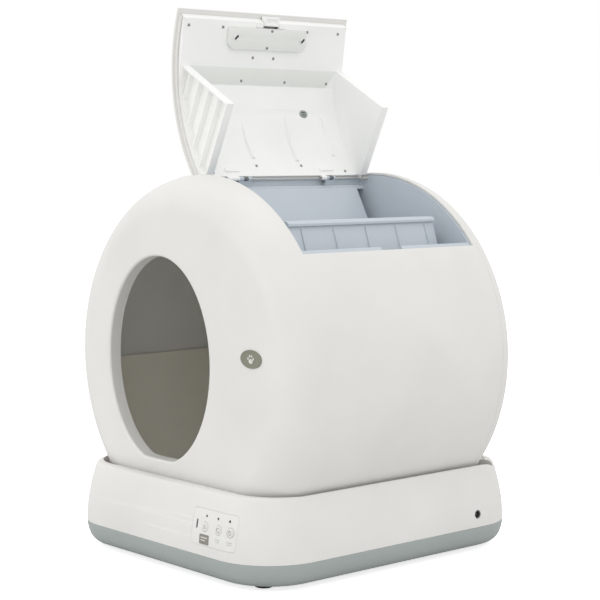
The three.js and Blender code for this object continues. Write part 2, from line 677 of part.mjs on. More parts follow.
// ---- lid, modelled shut and then swung open about its hinge -----------------------------------
const chordStart = new THREE.Vector3(polar(...CHORD.from)[0], 0, polar(...CHORD.from)[1]);
const chordEnd = new THREE.Vector3(polar(...CHORD.to)[0], 0, polar(...CHORD.to)[1]);
const alongPanel = chordEnd.clone().sub(chordStart).normalize();
const alongY = new THREE.Vector3(0, 1, 0);
const intoDrum = alongPanel.clone().cross(alongY);

// Panel space: x runs up the flat filter panel from its free edge, y as the drum, z into the drum.
const panelToDrum = new THREE.Matrix4().makeBasis(alongPanel, alongY, intoDrum).setPosition(chordStart);

function onPanel(shape, z0, z1, curveSegments = 8) {
  const geometry = new THREE.ExtrudeGeometry(shape, { depth: z1 - z0, bevelEnabled: false, curveSegments });
  geometry.translate(0, 0, z0);
  geometry.applyMatrix4(panelToDrum);
  return solid(geometry);
}

const rectangle = (x0, x1, y0, y1) => toShape([[x0, y0], [x1, y0], [x1, y1], [x0, y1]]);
const disc = (x, y, radius) => new THREE.Shape().absarc(x, y, radius, 0, 2 * Math.PI);

const COVER = { x: [8, 41], y: [-80, 71], z: [GAP, 4], chamfer: 8 };
const FILTER = { x: [12.5, 36.5], y: [-56, 48], z: [-8, 0] };
const LOCKS = [{ name: 'front', y: -66 }, { name: 'rear', y: 63 }];
const LOCK_X = 23.7;
const LOCK_R = 4.4;
const LATCH = { x: [-9, 5], y: [-13, 16], z: [-6, 2.5], travel: 3 };

function lidShell() {
  const skin = sector(DRUM_R - WALL, DRUM_R, LID.from, LID.to, LID.front, LID.rear);
  const skirtR = DRUM_R - WALL - 5;
  const skirts = [[TUB_Y[0] + 0.6, TUB_Y[0] + 0.6 + THIN], [TUB_Y[1] - 0.6 - THIN, TUB_Y[1] - 0.6]].map(
    ([y0, y1]) => sector(skirtR, DRUM_R - 1, SKIRT.from, SKIRT.to, y0, y1),
  );
  return join(skin, ...skirts);
}

// The liner's curved panel as points at one radius, from the ledge to the hinge side.
function linerArc(radius) {
  const step = (LINER_END - LEDGE_END) / LINER_STEPS;
  return Array.from({ length: LINER_STEPS + 1 }, (_, i) => polar(LEDGE_END + step * i, radius));
}

function linerProfile() {
  return toShape([
    polar(39.4, LINER_R + 4.6),
    polar(...CHORD.from),
    polar(...CHORD.to),
    ...linerArc(LINER_R),
    ...linerArc(LINER_R + THIN).reverse(),
    polar(CHORD.to[0] + 0.4, CHORD.to[1] + THIN + 0.2),
    polar(CHORD.from[0] + 0.9, CHORD.from[1] + THIN),
    polar(40.1, LINER_R + 4.6),
  ]);
}

// A thin wall that closes the space between the liner and the lid shell, starting at y.
function linerEndWall(y) {
  const inside = toShape([[0, DRUM_Z], polar(...CHORD.from), polar(...CHORD.to), ...linerArc(LINER_R)]);
  const wall = sector(CHORD.to[1] - 5, DRUM_R - WALL - 0.5, SKIRT.from + GAP, SKIRT.to, y, y + THIN);
  return wall.subtract(prismY(inside, y - 1, y + THIN + 1));
}

function cheekOutline() {
  const angles = [91, 85, 79, 73, 67, LEDGE_END];
  return [CHEEK.a, CHEEK.b, CHEEK.c, polar(LINER_END - 0.4, LINER_R + 1),
    ...angles.map((angle) => polar(angle, LINER_R + 1)), polar(CHORD.to[0] + 0.5, CHORD.to[1] + 1)];
}

// A strip alongside the cheek's edge from b to c, at a distance from it and longer than the cheek.
function finOutline(distance) {
  const [x, z] = CHEEK.b;
  const edge = new THREE.Vector2(CHEEK.c[0] - x, CHEEK.c[1] - z).normalize();
  const at = (along, across) => [x + edge.x * along + edge.y * across, z + edge.y * along - edge.x * across];
  const far = distance + FINS.thickness;
  return [at(-40, distance), at(-40, far), at(180, far), at(180, distance)];
}

// An end wall of the lid's scoop: a thin inner face with a deep edge and fins on its outside.
function lidCheek({ inner, outer }) {
  const away = Math.sign(outer - inner);
  const span = (from, to) => [Math.min(from, to), Math.max(from, to)];
  const outline = cheekOutline();
  const block = prismY(toShape(outline), ...span(inner, outer));
  const pocket = prismY(toShape(offsetOutline(outline, -THIN)), ...span(inner + away * THIN, outer + away));
  const fins = Array.from({ length: FINS.count }, (_, i) => {
    const fin = toShape(finOutline(FINS.first + FINS.pitch * i));
    return prismY(fin, ...span(inner + away, outer - away * 2)).intersect(block);
  });
  return join(cut(block, pocket), ...fins);
}

function lidLiner() {
  const profile = prismY(linerProfile(), ...LINER_Y);
  const knuckles = HINGES.map(({ knuckle }) => {
    const leaf = sector(LINER_R, LINER_R + THIN, LINER_END - 1, HINGE_ANGLE, ...knuckle);
    return leaf.add(barY(HINGE, KNUCKLE_R, ...knuckle, 16));
  });
  const endWalls = [LINER_Y[0], LINER_Y[1] - THIN].map(linerEndWall);
  const bores = HINGES.map(({ knuckle: [y0, y1] }) => barY(HINGE, KNUCKLE_BORE, y0 - 1, y1 + 1, 16));
  const filterPatch = rectangle(FILTER.x[0] - GAP, FILTER.x[1] + GAP, FILTER.y[0] - GAP, FILTER.y[1] + GAP);
  const latchPatch = rectangle(-12, LATCH.x[1] + LATCH.travel + 1, LATCH.y[0] - 1, LATCH.y[1] + 1);
  const filterHole = onPanel(filterPatch, -9, 3);
  const latchHole = onPanel(latchPatch, -9, 4);
  const [ventX, ventZ] = polar(70.8, LINER_R);
  const vent = box(ventX - 7, ventX + 7, 69, 77, ventZ - 8, ventZ + 8);
  const moulding = join(profile, ...endWalls, ...CHEEKS.map(lidCheek), ...knuckles);
  return cut(moulding, ...bores, filterHole, latchHole, vent);
}

function filterCover() {
  const { x: [x0, x1], y: [y0, y1], chamfer } = COVER;
  const outline = toShape([
    [x0 + 3, y0], [x1 - chamfer, y0], [x1, y0 + chamfer], [x1, y1 - chamfer],
    [x1 - chamfer, y1], [x0 + 3, y1], [x0, y1 - 3], [x0, y0 + 3],
  ]);
  const holes = LOCKS.map(({ y }) => onPanel(disc(LOCK_X, y, 2.7), -1, 6));
  return cut(onPanel(outline, ...COVER.z), ...holes);
}

function turnLock(y) {
  const head = onPanel(disc(LOCK_X, y, LOCK_R), COVER.z[1] + GAP, COVER.z[1] + 2.2);
  const stem = onPanel(disc(LOCK_X, y, 2.2), 0.8, COVER.z[1] + 1);
  const half = new THREE.Vector2(3.2, 0.8);
  const corners = [[1, 1], [-1, 1], [-1, -1], [1, -1]].map(([sx, sy]) => {
    const corner = new THREE.Vector2(sx * half.x, sy * half.y).rotateAround(new THREE.Vector2(), radians(45));
    return [LOCK_X + corner.x, y + corner.y];
  });
  return cut(head.add(stem), onPanel(toShape(corners), COVER.z[1] + 1.2, COVER.z[1] + 4));
}

function lidLatch() {
  const { x: [x0, x1], y: [y0, y1], z: [z0, z1] } = LATCH;
  const catchBlock = onPanel(rectangle(x0, x1, y0, y1), z0, z1);
  const fingerHollow = onPanel(rectangle(x0 + 4, x1 - 3, y0 + 5, y1 - 5), z1 - 2, z1 + 1);
  return cut(catchBlock, fingerHollow);
}

function addLid() {
  const lid = new THREE.Group();
  lid.position.set(HINGE[0], 0, HINGE[1]);
  lid.rotation.y = -radians(LID_OPEN);
  group.add(lid);
  const shut = new THREE.Group();
  shut.position.set(-HINGE[0], 0, -HINGE[1]);
  lid.add(shut);
  add(shut, 'lid_shell', lidShell(), white);
  add(shut, 'lid_liner', lidLiner(), linerWhite);
  add(shut, 'carbon_filter', onPanel(rectangle(...FILTER.x, ...FILTER.y), ...FILTER.z), carbon);
  add(shut, 'filter_cover', filterCover(), linerWhite);
  add(shut, 'lid_latch', lidLatch(), linerWhite);
  LOCKS.forEach(({ name, y }) => add(shut, `turn_lock_${name}`, turnLock(y), dark));
}

addBase();
addDrum();
addLid();

export default group;
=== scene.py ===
"""Looks of a self-cleaning litter tray: a drum with an oval entrance rolls in a low base, and its
hinged lid stands open over a lift-out waste bin. Mesh code works in millimetres in the CAD's frame,
and each finished mesh is scaled to metres."""

import json
import math
from collections import namedtuple

import bmesh
import bpy
from mathutils import Matrix, Vector


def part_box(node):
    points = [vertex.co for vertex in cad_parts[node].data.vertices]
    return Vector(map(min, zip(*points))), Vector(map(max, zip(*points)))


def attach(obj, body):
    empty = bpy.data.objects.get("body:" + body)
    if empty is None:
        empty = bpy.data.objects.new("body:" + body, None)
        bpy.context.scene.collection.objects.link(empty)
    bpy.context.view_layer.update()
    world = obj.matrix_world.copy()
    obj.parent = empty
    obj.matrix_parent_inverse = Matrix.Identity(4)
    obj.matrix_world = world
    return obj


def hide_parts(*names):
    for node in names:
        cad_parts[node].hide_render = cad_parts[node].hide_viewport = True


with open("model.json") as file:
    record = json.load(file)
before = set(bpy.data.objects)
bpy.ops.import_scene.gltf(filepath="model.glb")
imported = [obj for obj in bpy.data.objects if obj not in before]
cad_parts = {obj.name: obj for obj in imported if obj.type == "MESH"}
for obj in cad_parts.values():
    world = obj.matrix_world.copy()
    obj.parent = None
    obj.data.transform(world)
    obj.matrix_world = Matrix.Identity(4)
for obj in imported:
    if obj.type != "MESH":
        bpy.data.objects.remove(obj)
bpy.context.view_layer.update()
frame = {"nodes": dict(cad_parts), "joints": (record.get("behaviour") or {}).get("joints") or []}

# ---- driving dimensions, in millimetres ----
MM = 0.001
JOINTS = {joint["name"]: joint for joint in frame["joints"]}


def box_mm(node):
    low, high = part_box(node)
    return Vector(low) / MM, Vector(high) / MM


def middle_mm(node):
    low, high = box_mm(node)
    return (low + high) / 2


GAP = 0.3
WALL = 3.0
THIN = 2.5

DRUM_Z = JOINTS["drum_roll"]["pos_m"][2] / MM
DRUM_AXIS = (0, DRUM_Z)
DRUM_LOW, DRUM_HIGH = box_mm("drum_shell")
DRUM_R = (DRUM_HIGH.x - DRUM_LOW.x) / 2
DRUM_FRONT = DRUM_LOW.y
DRUM_SPLIT = DRUM_HIGH.y
DRUM_REAR = box_mm("drum_rear_cover")[1].y
FRONT_FILLET = 52.0
REAR_FILLET = 18.0
WINDOW_COLUMNS = 48
OPENING = {"from": 37.5, "to": 98.2, "front": -168.3, "rear": 161.3}
ENTRANCE = {"x": -44.0, "z": 290.0, "half_width": 119.0, "half_height": 149.0, "floor": 147.0, "lip": 20.0}
LIP_ROUND = 4.0
BED_R = 256.0
BED_FRONT, BED_REAR = -184.0, 178.0
BED_SEAM = 270.0
BED_CORNER = 16.0
BED_FRONT_CORNER = 10.0
UPPER_LINER_ANGLE = 104.0
SEAM_GAP = 2.0
SIEVE = {"slots": 11, "first": 18.0, "pitch": 30.0, "width": 14.0, "angles": (2.0, 25.0), "top": 30.0}
BED_LIP_R = 205.0

BASE_LOW, BASE_HIGH = box_mm("base_shell")
BASE_W = BASE_HIGH.x - BASE_LOW.x
BASE_D = BASE_HIGH.y - BASE_LOW.y
BASE_CORNER = 90.0
RIM_Z = BASE_HIGH.z
RIM_SOLID_Z = 112.0
CRADLE_R = 271.0
CRADLE_FRONT, CRADLE_REAR = -232.0, 208.0
CRADLE_HALF_WIDTH = 217.0
CRADLE_CORNER = 70.0
FRONT_BAND = (-BASE_D / 2 - 5, -BASE_D / 2 + 30)
DECK = {"z": 115.0, "margin_x": 60.0, "margin_y": 52.0, "radius": 60.0}
GEAR_FRONT = 191.0
PINION_ROOM_R = 37.0
SHAFT_HOLE_R = 7.0
ROLLER_SLOT = {"half_x": 19.0, "half_y": 17.0, "top": 75.0}
KEY_HOLE_R = 6.9
LED_HOLE_R = 1.9
# Each row is a height and the inset from the base's footprint there.
TRAY_SECTIONS = [(6, 21), (8, 15), (12, 9.5), (18, 5), (26, 2), (34, 0.4), (39, 0)]
SHELL_SECTIONS = [
    (39.3, 0), (52, 0.4), (70, 2), (90, 5.5), (108, 10), (118, 13), (124, 15.5), (126.3, 18), (127, 21),
]

Patch = namedtuple("Patch", "x z width height radius")
FASCIA = Patch(126.5, 78.0, 91.0, 49.0, 6.0)
LABEL = Patch(109.0, 61.8, 20.0, 13.0, 1.0)
SENSOR = Patch(91.0, 81.0, 2.6, 12.0, 1.0)

HINGE = Vector((JOINTS["lid_hinge"]["pos_m"][0], 0, JOINTS["lid_hinge"]["pos_m"][2])) / MM
LID_OPEN = -JOINTS["lid_hinge"]["range_deg"][0]
HINGE_LINE = (HINGE.x, HINGE.z)
KNUCKLE_R = 3.1
KNUCKLE_BORE = 1.85
LID_BODIES = ("lid", "latch", "filter_lock_front", "filter_lock_rear")
LID_TAIL_SWING = 11.5
HINGE_ANGLE = 94.6
KNUCKLES = [(-112.0, -90.4), (71.0, 80.6)]
LID = {"from": 37.8, "to": 94.2, "front": -167.5, "rear": 160.5}
SKIRT = {"from": 39.8, "to": 93.0}
LINER_Y = (-161.5, 154.5)
LINER_R = 257.0
CHORD = ((40.2, 253.6), (55.4, 251.9))
LEDGE_END = 61.6
LINER_END = 93.8
CHEEK = [(148.0, 501.0), (37.4, 441.0), (-23.0, 537.0)]
CHEEKS = [(-146.0, -159.0), (142.0, 155.0)]
FINS = {"count": 4, "first": 23.0, "pitch": 25.0, "thickness": 2.2}
COVER = {"x": (8.5, 41.0), "y": (-80.0, 71.0), "z": (0.3, 4.0), "chamfer": 8.0}
FILTER = {"x": (12.5, 36.5), "y": (-56.0, 48.0)}
LOCK_X = 23.7
LOCK_Y = {end: middle_mm(f"turn_lock_{end}").y for end in ("front", "rear")}
LOCK_R = 4.4
LATCH = {"x": (-9.0, 5.0), "y": (-13.0, 16.0), "z": (-6.0, 2.5)}
LATCH_BOSS = {"x": (0.6, 7.6), "y": (-26.0, 29.0), "z": 1.8}
VENT = {"angle": 70.8, "y": 73.0, "half_x": 6.0, "half_y": 8.0}
# Screws and pins on the flat panel as (distance from the free edge, y), screws on the ledge as y,
# and screws and ridges on the scoop as (angle, y).
PANEL_SCREWS = [(10.3, -152), (10.3, -89), (10.3, 75), (10.3, 138), (52.8, -28), (52.8, 12)]
COVER_PINS = [(11.9, 2), (37.5, -5.5)]
LEDGE_SCREWS = [-46, 39, 124]
SCOOP_SCREWS = [(89.8, -48), (89.9, 39.5), (92.3, -134), (92.2, 124.5)]
SWOOSHES = [[(73.6, -52), (80.4, -51.5), (86.9, -48)], [(71.6, 34), (80.5, 33), (88.1, 36)],
            [(71.4, 108), (78.6, 112), (86.2, 113)]]
KNUCKLE_PADS = [(-111, -84), (73, 100)]
KNUCKLE_PAD_ANGLE = 91.2

BIN_SLOPE_TOP = Vector((-19.0, 536.0))
BIN_SLOPE = Vector((25.0, -45.0)).normalized()
BIN_Y = (-143.5, 140.5)
BIN_FLOOR = 402.0
BIN_END_Z = 470.0
RAIL = (145.0, 492.0)
BEAD = {"reach": 6.5, "height": 7.0, "chamfer": 3.5, "top": 2.6}
DIVIDER_FOOT = (175.0, BIN_FLOOR)
RIB_Y = (-118.5, -59.0, 2.4, 62.0, 121.4)
TUB_FLOOR = 400.5
TUB_LEDGE_Z = 536.0
TUB_LEFT_X, TUB_RIGHT_X = -31.0, 183.0
# The inlet's limits in x, y and z.
TUB_INLET = (170, 215, -120, 110, 408, 432)
LATCH_NOTCH = {"angles": (36.4, 40.0), "y": (-18.0, 21.0)}
TUB_Y = (-165.2, 158.2)
SKIRT_GAP = 0.6
RECESS = {"top": 530.0, "bottom": 440.0, "near": 3.5, "far": 28.0}
LIP_ANGLE = 39.2
FLANGE = {"inner": 258.0, "outer": 261.4, "from": 34.0, "to": 101.0, "front": -170.5, "rear": 166.0}


# ---- points and outlines ----
def polar(degrees, radius):
    """An XZ point at an angle and radius about the drum's axis: 0 is +X and 90 is up."""
    angle = math.radians(degrees)
    return radius * math.cos(angle), DRUM_Z + radius * math.sin(angle)


def spread(start, end, count):
    """count + 1 evenly spaced numbers from start to end."""
    return [start + (end - start) * i / count for i in range(count + 1)]


def arc(start, end, radius, step=1.25):
    """Points about the drum's axis, a step of about 1.25 degrees apart."""
    count = max(1, math.ceil(abs(end - start) / step))
    return [polar(angle, radius) for angle in spread(start, end, count)]


def sector(inner, outer, start, end):
    """Outline of part of a ring about the drum's axis."""
    return arc(start, end, outer) + arc(end, start, inner)


def ellipse(centre, half_width, half_height, count=72):
    x, y = centre
    turns = [2 * math.pi * i / count for i in range(count)]
    return [(x + half_width * math.cos(turn), y + half_height * math.sin(turn)) for turn in turns]


def circle(centre, radius, count=48):
    return ellipse(centre, radius, radius, count)


def sweep(start, end, steps):
    """Cosines and sines of evenly spaced angles, given in degrees."""
    return [(math.cos(math.radians(a)), math.sin(math.radians(a))) for a in spread(start, end, steps)]


def rounded_rectangle(centre, width, height, radius, steps=8):
    x, y = centre
    points = []
    for corner, (sx, sy) in enumerate([(1, 1), (-1, 1), (-1, -1), (1, -1)]):
        for i in range(steps + 1):
            angle = math.radians(90 * corner + 90 * i / steps)
            across = sx * (width / 2 - radius) + radius * math.cos(angle)
            up = sy * (height / 2 - radius) + radius * math.sin(angle)
            points.append((x + across, y + up))
    return points


def slot_outline(centre, length, width, turn, steps=8):
    """A bar with round ends, turned by an angle."""
    half = length / 2 - width / 2
    points = []
    for end, side in ((half, 0), (-half, 180)):
        for cos, sin in sweep(side - 90, side + 90, steps):
            points.append(Vector((end + width / 2 * cos, width / 2 * sin)))
    turned = Matrix.Rotation(math.radians(turn), 2)
    return [tuple(turned @ point + Vector(centre)) for point in points]


def smooth_curve(points, per_span=4):
    """Catmull-Rom points through a short list of points."""
    padded = [points[0], *points, points[-1]]
    result = []
    for span in zip(padded, padded[1:], padded[2:], padded[3:]):
        for i in range(per_span):
            t = i / per_span
            point = []
            for a, b, c, d in zip(*span):
                bend = (2 * a - 5 * b + 4 * c - d) * t**2 + (3 * b - a - 3 * c + d) * t**3
                point.append(0.5 * (2 * b + (c - a) * t + bend))
            result.append(tuple(point))
    return [*result, points[-1]]


def inset(points, distance):
    """An outline moved inwards by the same distance all round."""
    area = sum(a[0] * b[1] - b[0] * a[1] for a, b in zip(points, points[1:] + points[:1]))
    side = -distance if area > 0 else distance
    result = []
    for i, point in enumerate(points):
        arrive = (Vector(point) - Vector(points[i - 1])).normalized()
        leave = (Vector(points[(i + 1) % len(points)]) - Vector(point)).normalized()
        normal = Vector((arrive.y + leave.y, -arrive.x - leave.x)) / (1 + arrive.dot(leave))
        result.append(tuple(Vector(point) + normal * side))
    return result


# ---- meshes ----
def skin(rows, keep=None):
    """Quads between closed rows of points. keep(row, column) says which of them are made."""
    bm = bmesh.new()
    verts = [[bm.verts.new(point) for point in row] for row in rows]
    columns = len(rows[0])
    for r in range(len(rows) - 1):
        for c in range(columns):
            if keep and not keep(r, c):
                continue
            after = (c + 1) % columns
            bm.faces.new((verts[r][c], verts[r][after], verts[r + 1][after], verts[r + 1][c]))
    loose = [vert for vert in bm.verts if not vert.link_faces]
    bmesh.ops.delete(bm, geom=loose, context="VERTS")
    return bm


def capped(rows):
    """A closed solid skinned through rows, with a flat face at each end."""
    bm = skin(rows)
    bm.verts.ensure_lookup_table()
    count = len(rows[0])
    bm.faces.new(bm.verts[:count])
    bm.faces.new(bm.verts[-count:])
    bmesh.ops.recalc_face_normals(bm, faces=bm.faces)
    return bm


def along_y(u, v, depth):
    return u, depth, v


def along_z(u, v, depth):
    return u, v, depth


def along_x(u, v, depth):
    return depth, u, v


def prism(outline, start, end, place=along_y):
    """A closed outline pushed between two depths. place(u, v, depth) gives the point in space."""
    return capped([[place(u, v, depth) for u, v in outline] for depth in (start, end)])


def rod(centre, radius, start, end, count=48):
    """A solid round bar along Y."""
    return prism(circle(centre, radius, count), start, end)


def turned(profile, place, segments=144):
    """A profile of (radius, depth) points turned full circle. A zero radius closes the end."""
    bm = bmesh.new()
    rings = []
    for radius, depth in profile:
        if radius == 0:
            rings.append([bm.verts.new(place(0, 0, depth))])
            continue
        rings.append([bm.verts.new(place(u, v, depth)) for u, v in circle((0, 0), radius, segments)])
    for low, high in zip(rings, rings[1:]):
        for i in range(segments):
            after = (i + 1) % segments
            corners = [low[i % len(low)], low[after % len(low)], high[after % len(high)], high[i % len(high)]]
            unique = list(dict.fromkeys(corners))
            if len(unique) > 2:
                bm.faces.new(unique)
    bmesh.ops.recalc_face_normals(bm, faces=bm.faces)
    return bm


def about_y(x, z):
    """A place function for turning a profile about an axis along Y through an XZ point."""
    return lambda u, v, depth: (x + u, depth, z + v)


def about_x(y, z):
    return lambda u, v, depth: (depth, y + u, z + v)


def about_z(x, y):
    return lambda u, v, depth: (x + u, y + v, depth)


def add_object(name, data):
    thing = bpy.data.objects.new(name, data)
    bpy.context.scene.collection.objects.link(thing)
    return thing


def mesh_of(bm, name="temporary"):
    mesh = bpy.data.meshes.new(name)
    bm.to_mesh(mesh)
    bm.free()
    return mesh


def combine(first, joins=(), cuts=(), common=()):
    """Joins, cuts and intersects closed solids, and gives the result as a bmesh."""
    thing = add_object("solid", mesh_of(first))
    others = []
    for operation, solids in (("UNION", joins), ("INTERSECT", common), ("DIFFERENCE", cuts)):
        for other in solids:
            tool = add_object("tool", mesh_of(other))
            others.append(tool)
            modifier = thing.modifiers.new("solid", "BOOLEAN")
            modifier.operation = operation
            modifier.solver = "MANIFOLD"
            modifier.object = tool
    bpy.context.view_layer.update()
    evaluated = thing.evaluated_get(bpy.context.evaluated_depsgraph_get())
    result = bmesh.new()
    result.from_mesh(evaluated.data)
    for spent in [thing, *others]:
        mesh = spent.data
        bpy.data.objects.remove(spent)
        bpy.data.meshes.remove(mesh)
    bmesh.ops.dissolve_limit(result, angle_limit=math.radians(0.3), verts=result.verts, edges=result.edges)
    return result


def round_edges(thing, width, segments, angle):
    edge = thing.modifiers.new("edges", "BEVEL")
    edge.width = width * MM
    edge.segments = segments
    edge.limit_method = "ANGLE"
    edge.angle_limit = math.radians(angle)


def piece(name, bm, body, look, replaces=(), wall=0, bevel=0.8, segments=3, angle=12, flat=False):
    """A finished piece: millimetres to metres, thickened and bevelled, riding on a body.

    The lid's pieces are made shut, and swung open here.
    flat keeps sharp edges sharp on a panel that has no bevel. Only the base's and the drum's pieces
    take weighted normals, which shade the lid's thin curved panels wrongly."""
    if body in LID_BODIES:
        bm.transform(SWING)
    bm.transform(Matrix.Scale(MM, 4))
    mesh = mesh_of(bm, name)
    mesh.shade_smooth()
    if flat:
        mesh.set_sharp_from_angle(angle=math.radians(25))
    slot, material = look
    mesh.materials.append(material)
    thing = add_object(name, mesh)
    if wall:
        solidify = thing.modifiers.new("wall", "SOLIDIFY")
        solidify.thickness = wall * MM
        solidify.offset = -1
        solidify.use_even_offset = True
    if bevel:
        round_edges(thing, bevel, segments, angle)
    if body in ("base", "drum"):
        thing.modifiers.new("normals", "WEIGHTED_NORMAL")
    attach(thing, body)
    if replaces:
        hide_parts(*replaces)


def keep_node(node, look, bevel=0.5):
    """A CAD node that is shown as it is, with softened edges and a finished material."""
    thing = frame["nodes"][node]
    thing.data.materials.clear()
    thing.data.materials.append(look[1])
    thing.modifiers.new("join", "WELD").merge_threshold = 0.01 * MM
    round_edges(thing, bevel, 2, 40)
    smooth = thing.modifiers.new("normals", "WEIGHTED_NORMAL")
    smooth.keep_sharp = True


# ---- materials ----
def set_inputs(node, values):
    for name, value in values.items():
        node.inputs[name].default_value = value


def noise_between(tree, scale, low, high, detail=3.0):
    """A noise value spread between two numbers."""
    place = tree.nodes.new("ShaderNodeTexCoord")
    noise = tree.nodes.new("ShaderNodeTexNoise")
    set_inputs(noise, {"Scale": scale, "Detail": detail})
    tree.links.new(place.outputs["Object"], noise.inputs["Vector"])
    spread_node = tree.nodes.new("ShaderNodeMapRange")
    set_inputs(spread_node, {"From Min": 0.3, "From Max": 0.7, "To Min": low, "To Max": high})
    tree.links.new(noise.outputs["Fac"], spread_node.inputs["Value"])
    return spread_node.outputs["Result"]


def linear(channel):
    return channel / 12.92 if channel <= 0.04045 else ((channel + 0.055) / 1.055) ** 2.4


def surface(slot, colour, roughness, tint=0.03, grain=1500.0, depth=0.02, metallic=0.0):
    """A moulded or machined surface: slow colour drift, uneven gloss and a fine grain in relief."""
    material = bpy.data.materials.new(slot)
    material.use_nodes = True
    tree = material.node_tree
    shader = tree.nodes["Principled BSDF"]
    set_inputs(shader, {"Metallic": metallic, "Specular IOR Level": 0.5})
    shades = tree.nodes.new("ShaderNodeMix")
    shades.data_type = "RGBA"
    base = [linear(channel) for channel in colour]
    shades.inputs["A"].default_value = (*[channel * (1 - tint) for channel in base], 1)
    shades.inputs["B"].default_value = (*[min(1, channel * (1 + tint)) for channel in base], 1)
    tree.links.new(noise_between(tree, 7.0, 0.0, 1.0), shades.inputs["Factor"])
    tree.links.new(shades.outputs["Result"], shader.inputs["Base Color"])
    gloss = noise_between(tree, 60.0, roughness * 0.9, min(1, roughness * 1.1))
    tree.links.new(gloss, shader.inputs["Roughness"])
    relief = tree.nodes.new("ShaderNodeBump")
    set_inputs(relief, {"Strength": 0.35, "Distance": depth * MM})
    tree.links.new(noise_between(tree, grain, 0.0, 1.0, 2.0), relief.inputs["Height"])
    tree.links.new(relief.outputs["Normal"], shader.inputs["Normal"])
    return slot, material


WHITE = surface("white_plastic", (0.91, 0.905, 0.89), 0.42)
WHITE_INNER = surface("white_plastic", (0.945, 0.93, 0.885), 0.55)
LINER = surface("liner_plastic", (0.985, 0.985, 0.975), 0.46)
PANEL_WHITE = surface("liner_plastic", (0.915, 0.912, 0.897), 0.42)
# The filter cover's own white, which is also laid on the lid's ledge as painted shade.
COVER_WHITE_AND_LEDGE_SHADE = surface("liner_plastic", (0.93, 0.935, 0.915), 0.42)
GREY = surface("grey_plastic", (0.66, 0.69, 0.68), 0.5)
BIN = surface("bin_plastic", (0.785, 0.815, 0.845), 0.45)
INNER = surface("inner_plastic", (0.945, 0.93, 0.88), 0.6)
BADGE = surface("badge_plastic", (0.52, 0.52, 0.46), 0.3, depth=0.005)
DARK = surface("dark_plastic", (0.23, 0.23, 0.23), 0.5)
CLIP_GREY = surface("dark_plastic", (0.45, 0.46, 0.47), 0.45)
LABEL_BROWN = surface("dark_plastic", (0.55, 0.54, 0.51), 0.45)
PRINT_PALE = surface("liner_plastic", (0.86, 0.86, 0.83), 0.5)
PRINT_GREY = surface("badge_plastic", (0.62, 0.62, 0.60), 0.5)
CAPTION_GREY = surface("badge_plastic", (0.78, 0.78, 0.76), 0.5)
RUBBER = surface("rubber", (0.17, 0.18, 0.18), 0.85, tint=0.1, grain=900.0, depth=0.08)
NYLON = surface("nylon", (0.85, 0.835, 0.785), 0.42)
CARBON = surface("carbon_foam", (0.14, 0.14, 0.15), 0.95, tint=0.35, grain=420.0, depth=0.6)
BOARD = surface("circuit_board", (0.15, 0.33, 0.22), 0.35, tint=0.12)
STEEL = surface("steel", (0.72, 0.73, 0.74), 0.32, metallic=1.0, grain=2500.0, depth=0.01)
SCREW = surface("steel", (0.62, 0.62, 0.61), 0.45, metallic=0.4)


# ---- base ----
def base_rows(sections, shrink=0.0):
    """Rounded rectangles up the base, smoothed between the given sections."""
    rows = []
    for z, less in smooth_curve(sections, 3):
        gone = less + shrink
        outline = rounded_rectangle((0, 0), BASE_W - 2 * gone, BASE_D - 2 * gone, BASE_CORNER - gone, 20)
        rows.append([(x, y, z) for x, y in outline])
    return rows


def loft(sections, shrink=0.0):
    return capped(base_rows(sections, shrink))


def cradle_form(grow):
    """The drum-shaped hollow of the cradle, with its front corners rounded to follow the rim."""
    bar = rod(DRUM_AXIS, CRADLE_R + grow, CRADLE_FRONT - grow, CRADLE_REAR + grow, 288)
    centre = (CRADLE_FRONT + CRADLE_REAR) / 2
    width = 2 * (CRADLE_HALF_WIDTH + grow)
    depth = CRADLE_REAR - CRADLE_FRONT + 2 * grow
    outline = rounded_rectangle((0, centre), width, depth, CRADLE_CORNER + grow, 20)
    front = [point for point in outline if point[1] < 0]
    back = centre + depth / 2
    plan = prism([*front, (width / 2, back), (-width / 2, back)], 0, BASE_D, along_z)
    return combine(bar, common=[plan])


def front_patch(patch, grow, shift, depth):
    """A skin that follows the base's front face inside a rounded rectangle."""
    size = (patch.width + 2 * grow, patch.height + 2 * grow, patch.radius + grow)
    outline = rounded_rectangle((patch.x, patch.z), *size)
    pushed = prism(outline, *FRONT_BAND)
    outer = loft(SHELL_SECTIONS)
    outer.transform(Matrix.Translation((0, shift, 0)))
    inner = loft(SHELL_SECTIONS)
    inner.transform(Matrix.Translation((0, shift + depth, 0)))
    return combine(pushed, common=[outer], cuts=[inner])


def block(x0, x1, y0, y1, z0, z1):
    return prism(rectangle(x0, x1, z0, z1), y0, y1)


def deck_room():
    """The room above the sunk deck behind the cradle."""
    size = (BASE_W - DECK["margin_x"], BASE_D - DECK["margin_y"], DECK["radius"])
    outline = rounded_rectangle((0, 0), *size, 16)
    behind = block(-BASE_W, BASE_W, CRADLE_REAR + WALL + 1, BASE_D, 0, RIM_Z + 2)
    return combine(prism(outline, DECK["z"], RIM_Z + 1, along_z), common=[behind])


def roller_slots():
    half_x, half_y = ROLLER_SLOT["half_x"], ROLLER_SLOT["half_y"]
    slots = []
    for end in ("front_left", "rear_left", "front_right", "rear_right"):
        x, y, _ = middle_mm(f"roller_{end}")
        slots.append(block(x - half_x, x + half_x, y - half_y, y + half_y, 0, ROLLER_SLOT["top"]))
    return slots


def drive_holes():
    """The pinion's room, and the shaft's hole through the cradle's rear wall."""
    pinion = middle_mm("drive_pinion")
    axis = (pinion.x, pinion.z)
    room = rod(axis, PINION_ROOM_R, GEAR_FRONT - 3, CRADLE_REAR)
    shaft_hole = rod(axis, SHAFT_HOLE_R, CRADLE_REAR - 1, CRADLE_REAR + WALL + 1)
    return [room, shaft_hole]


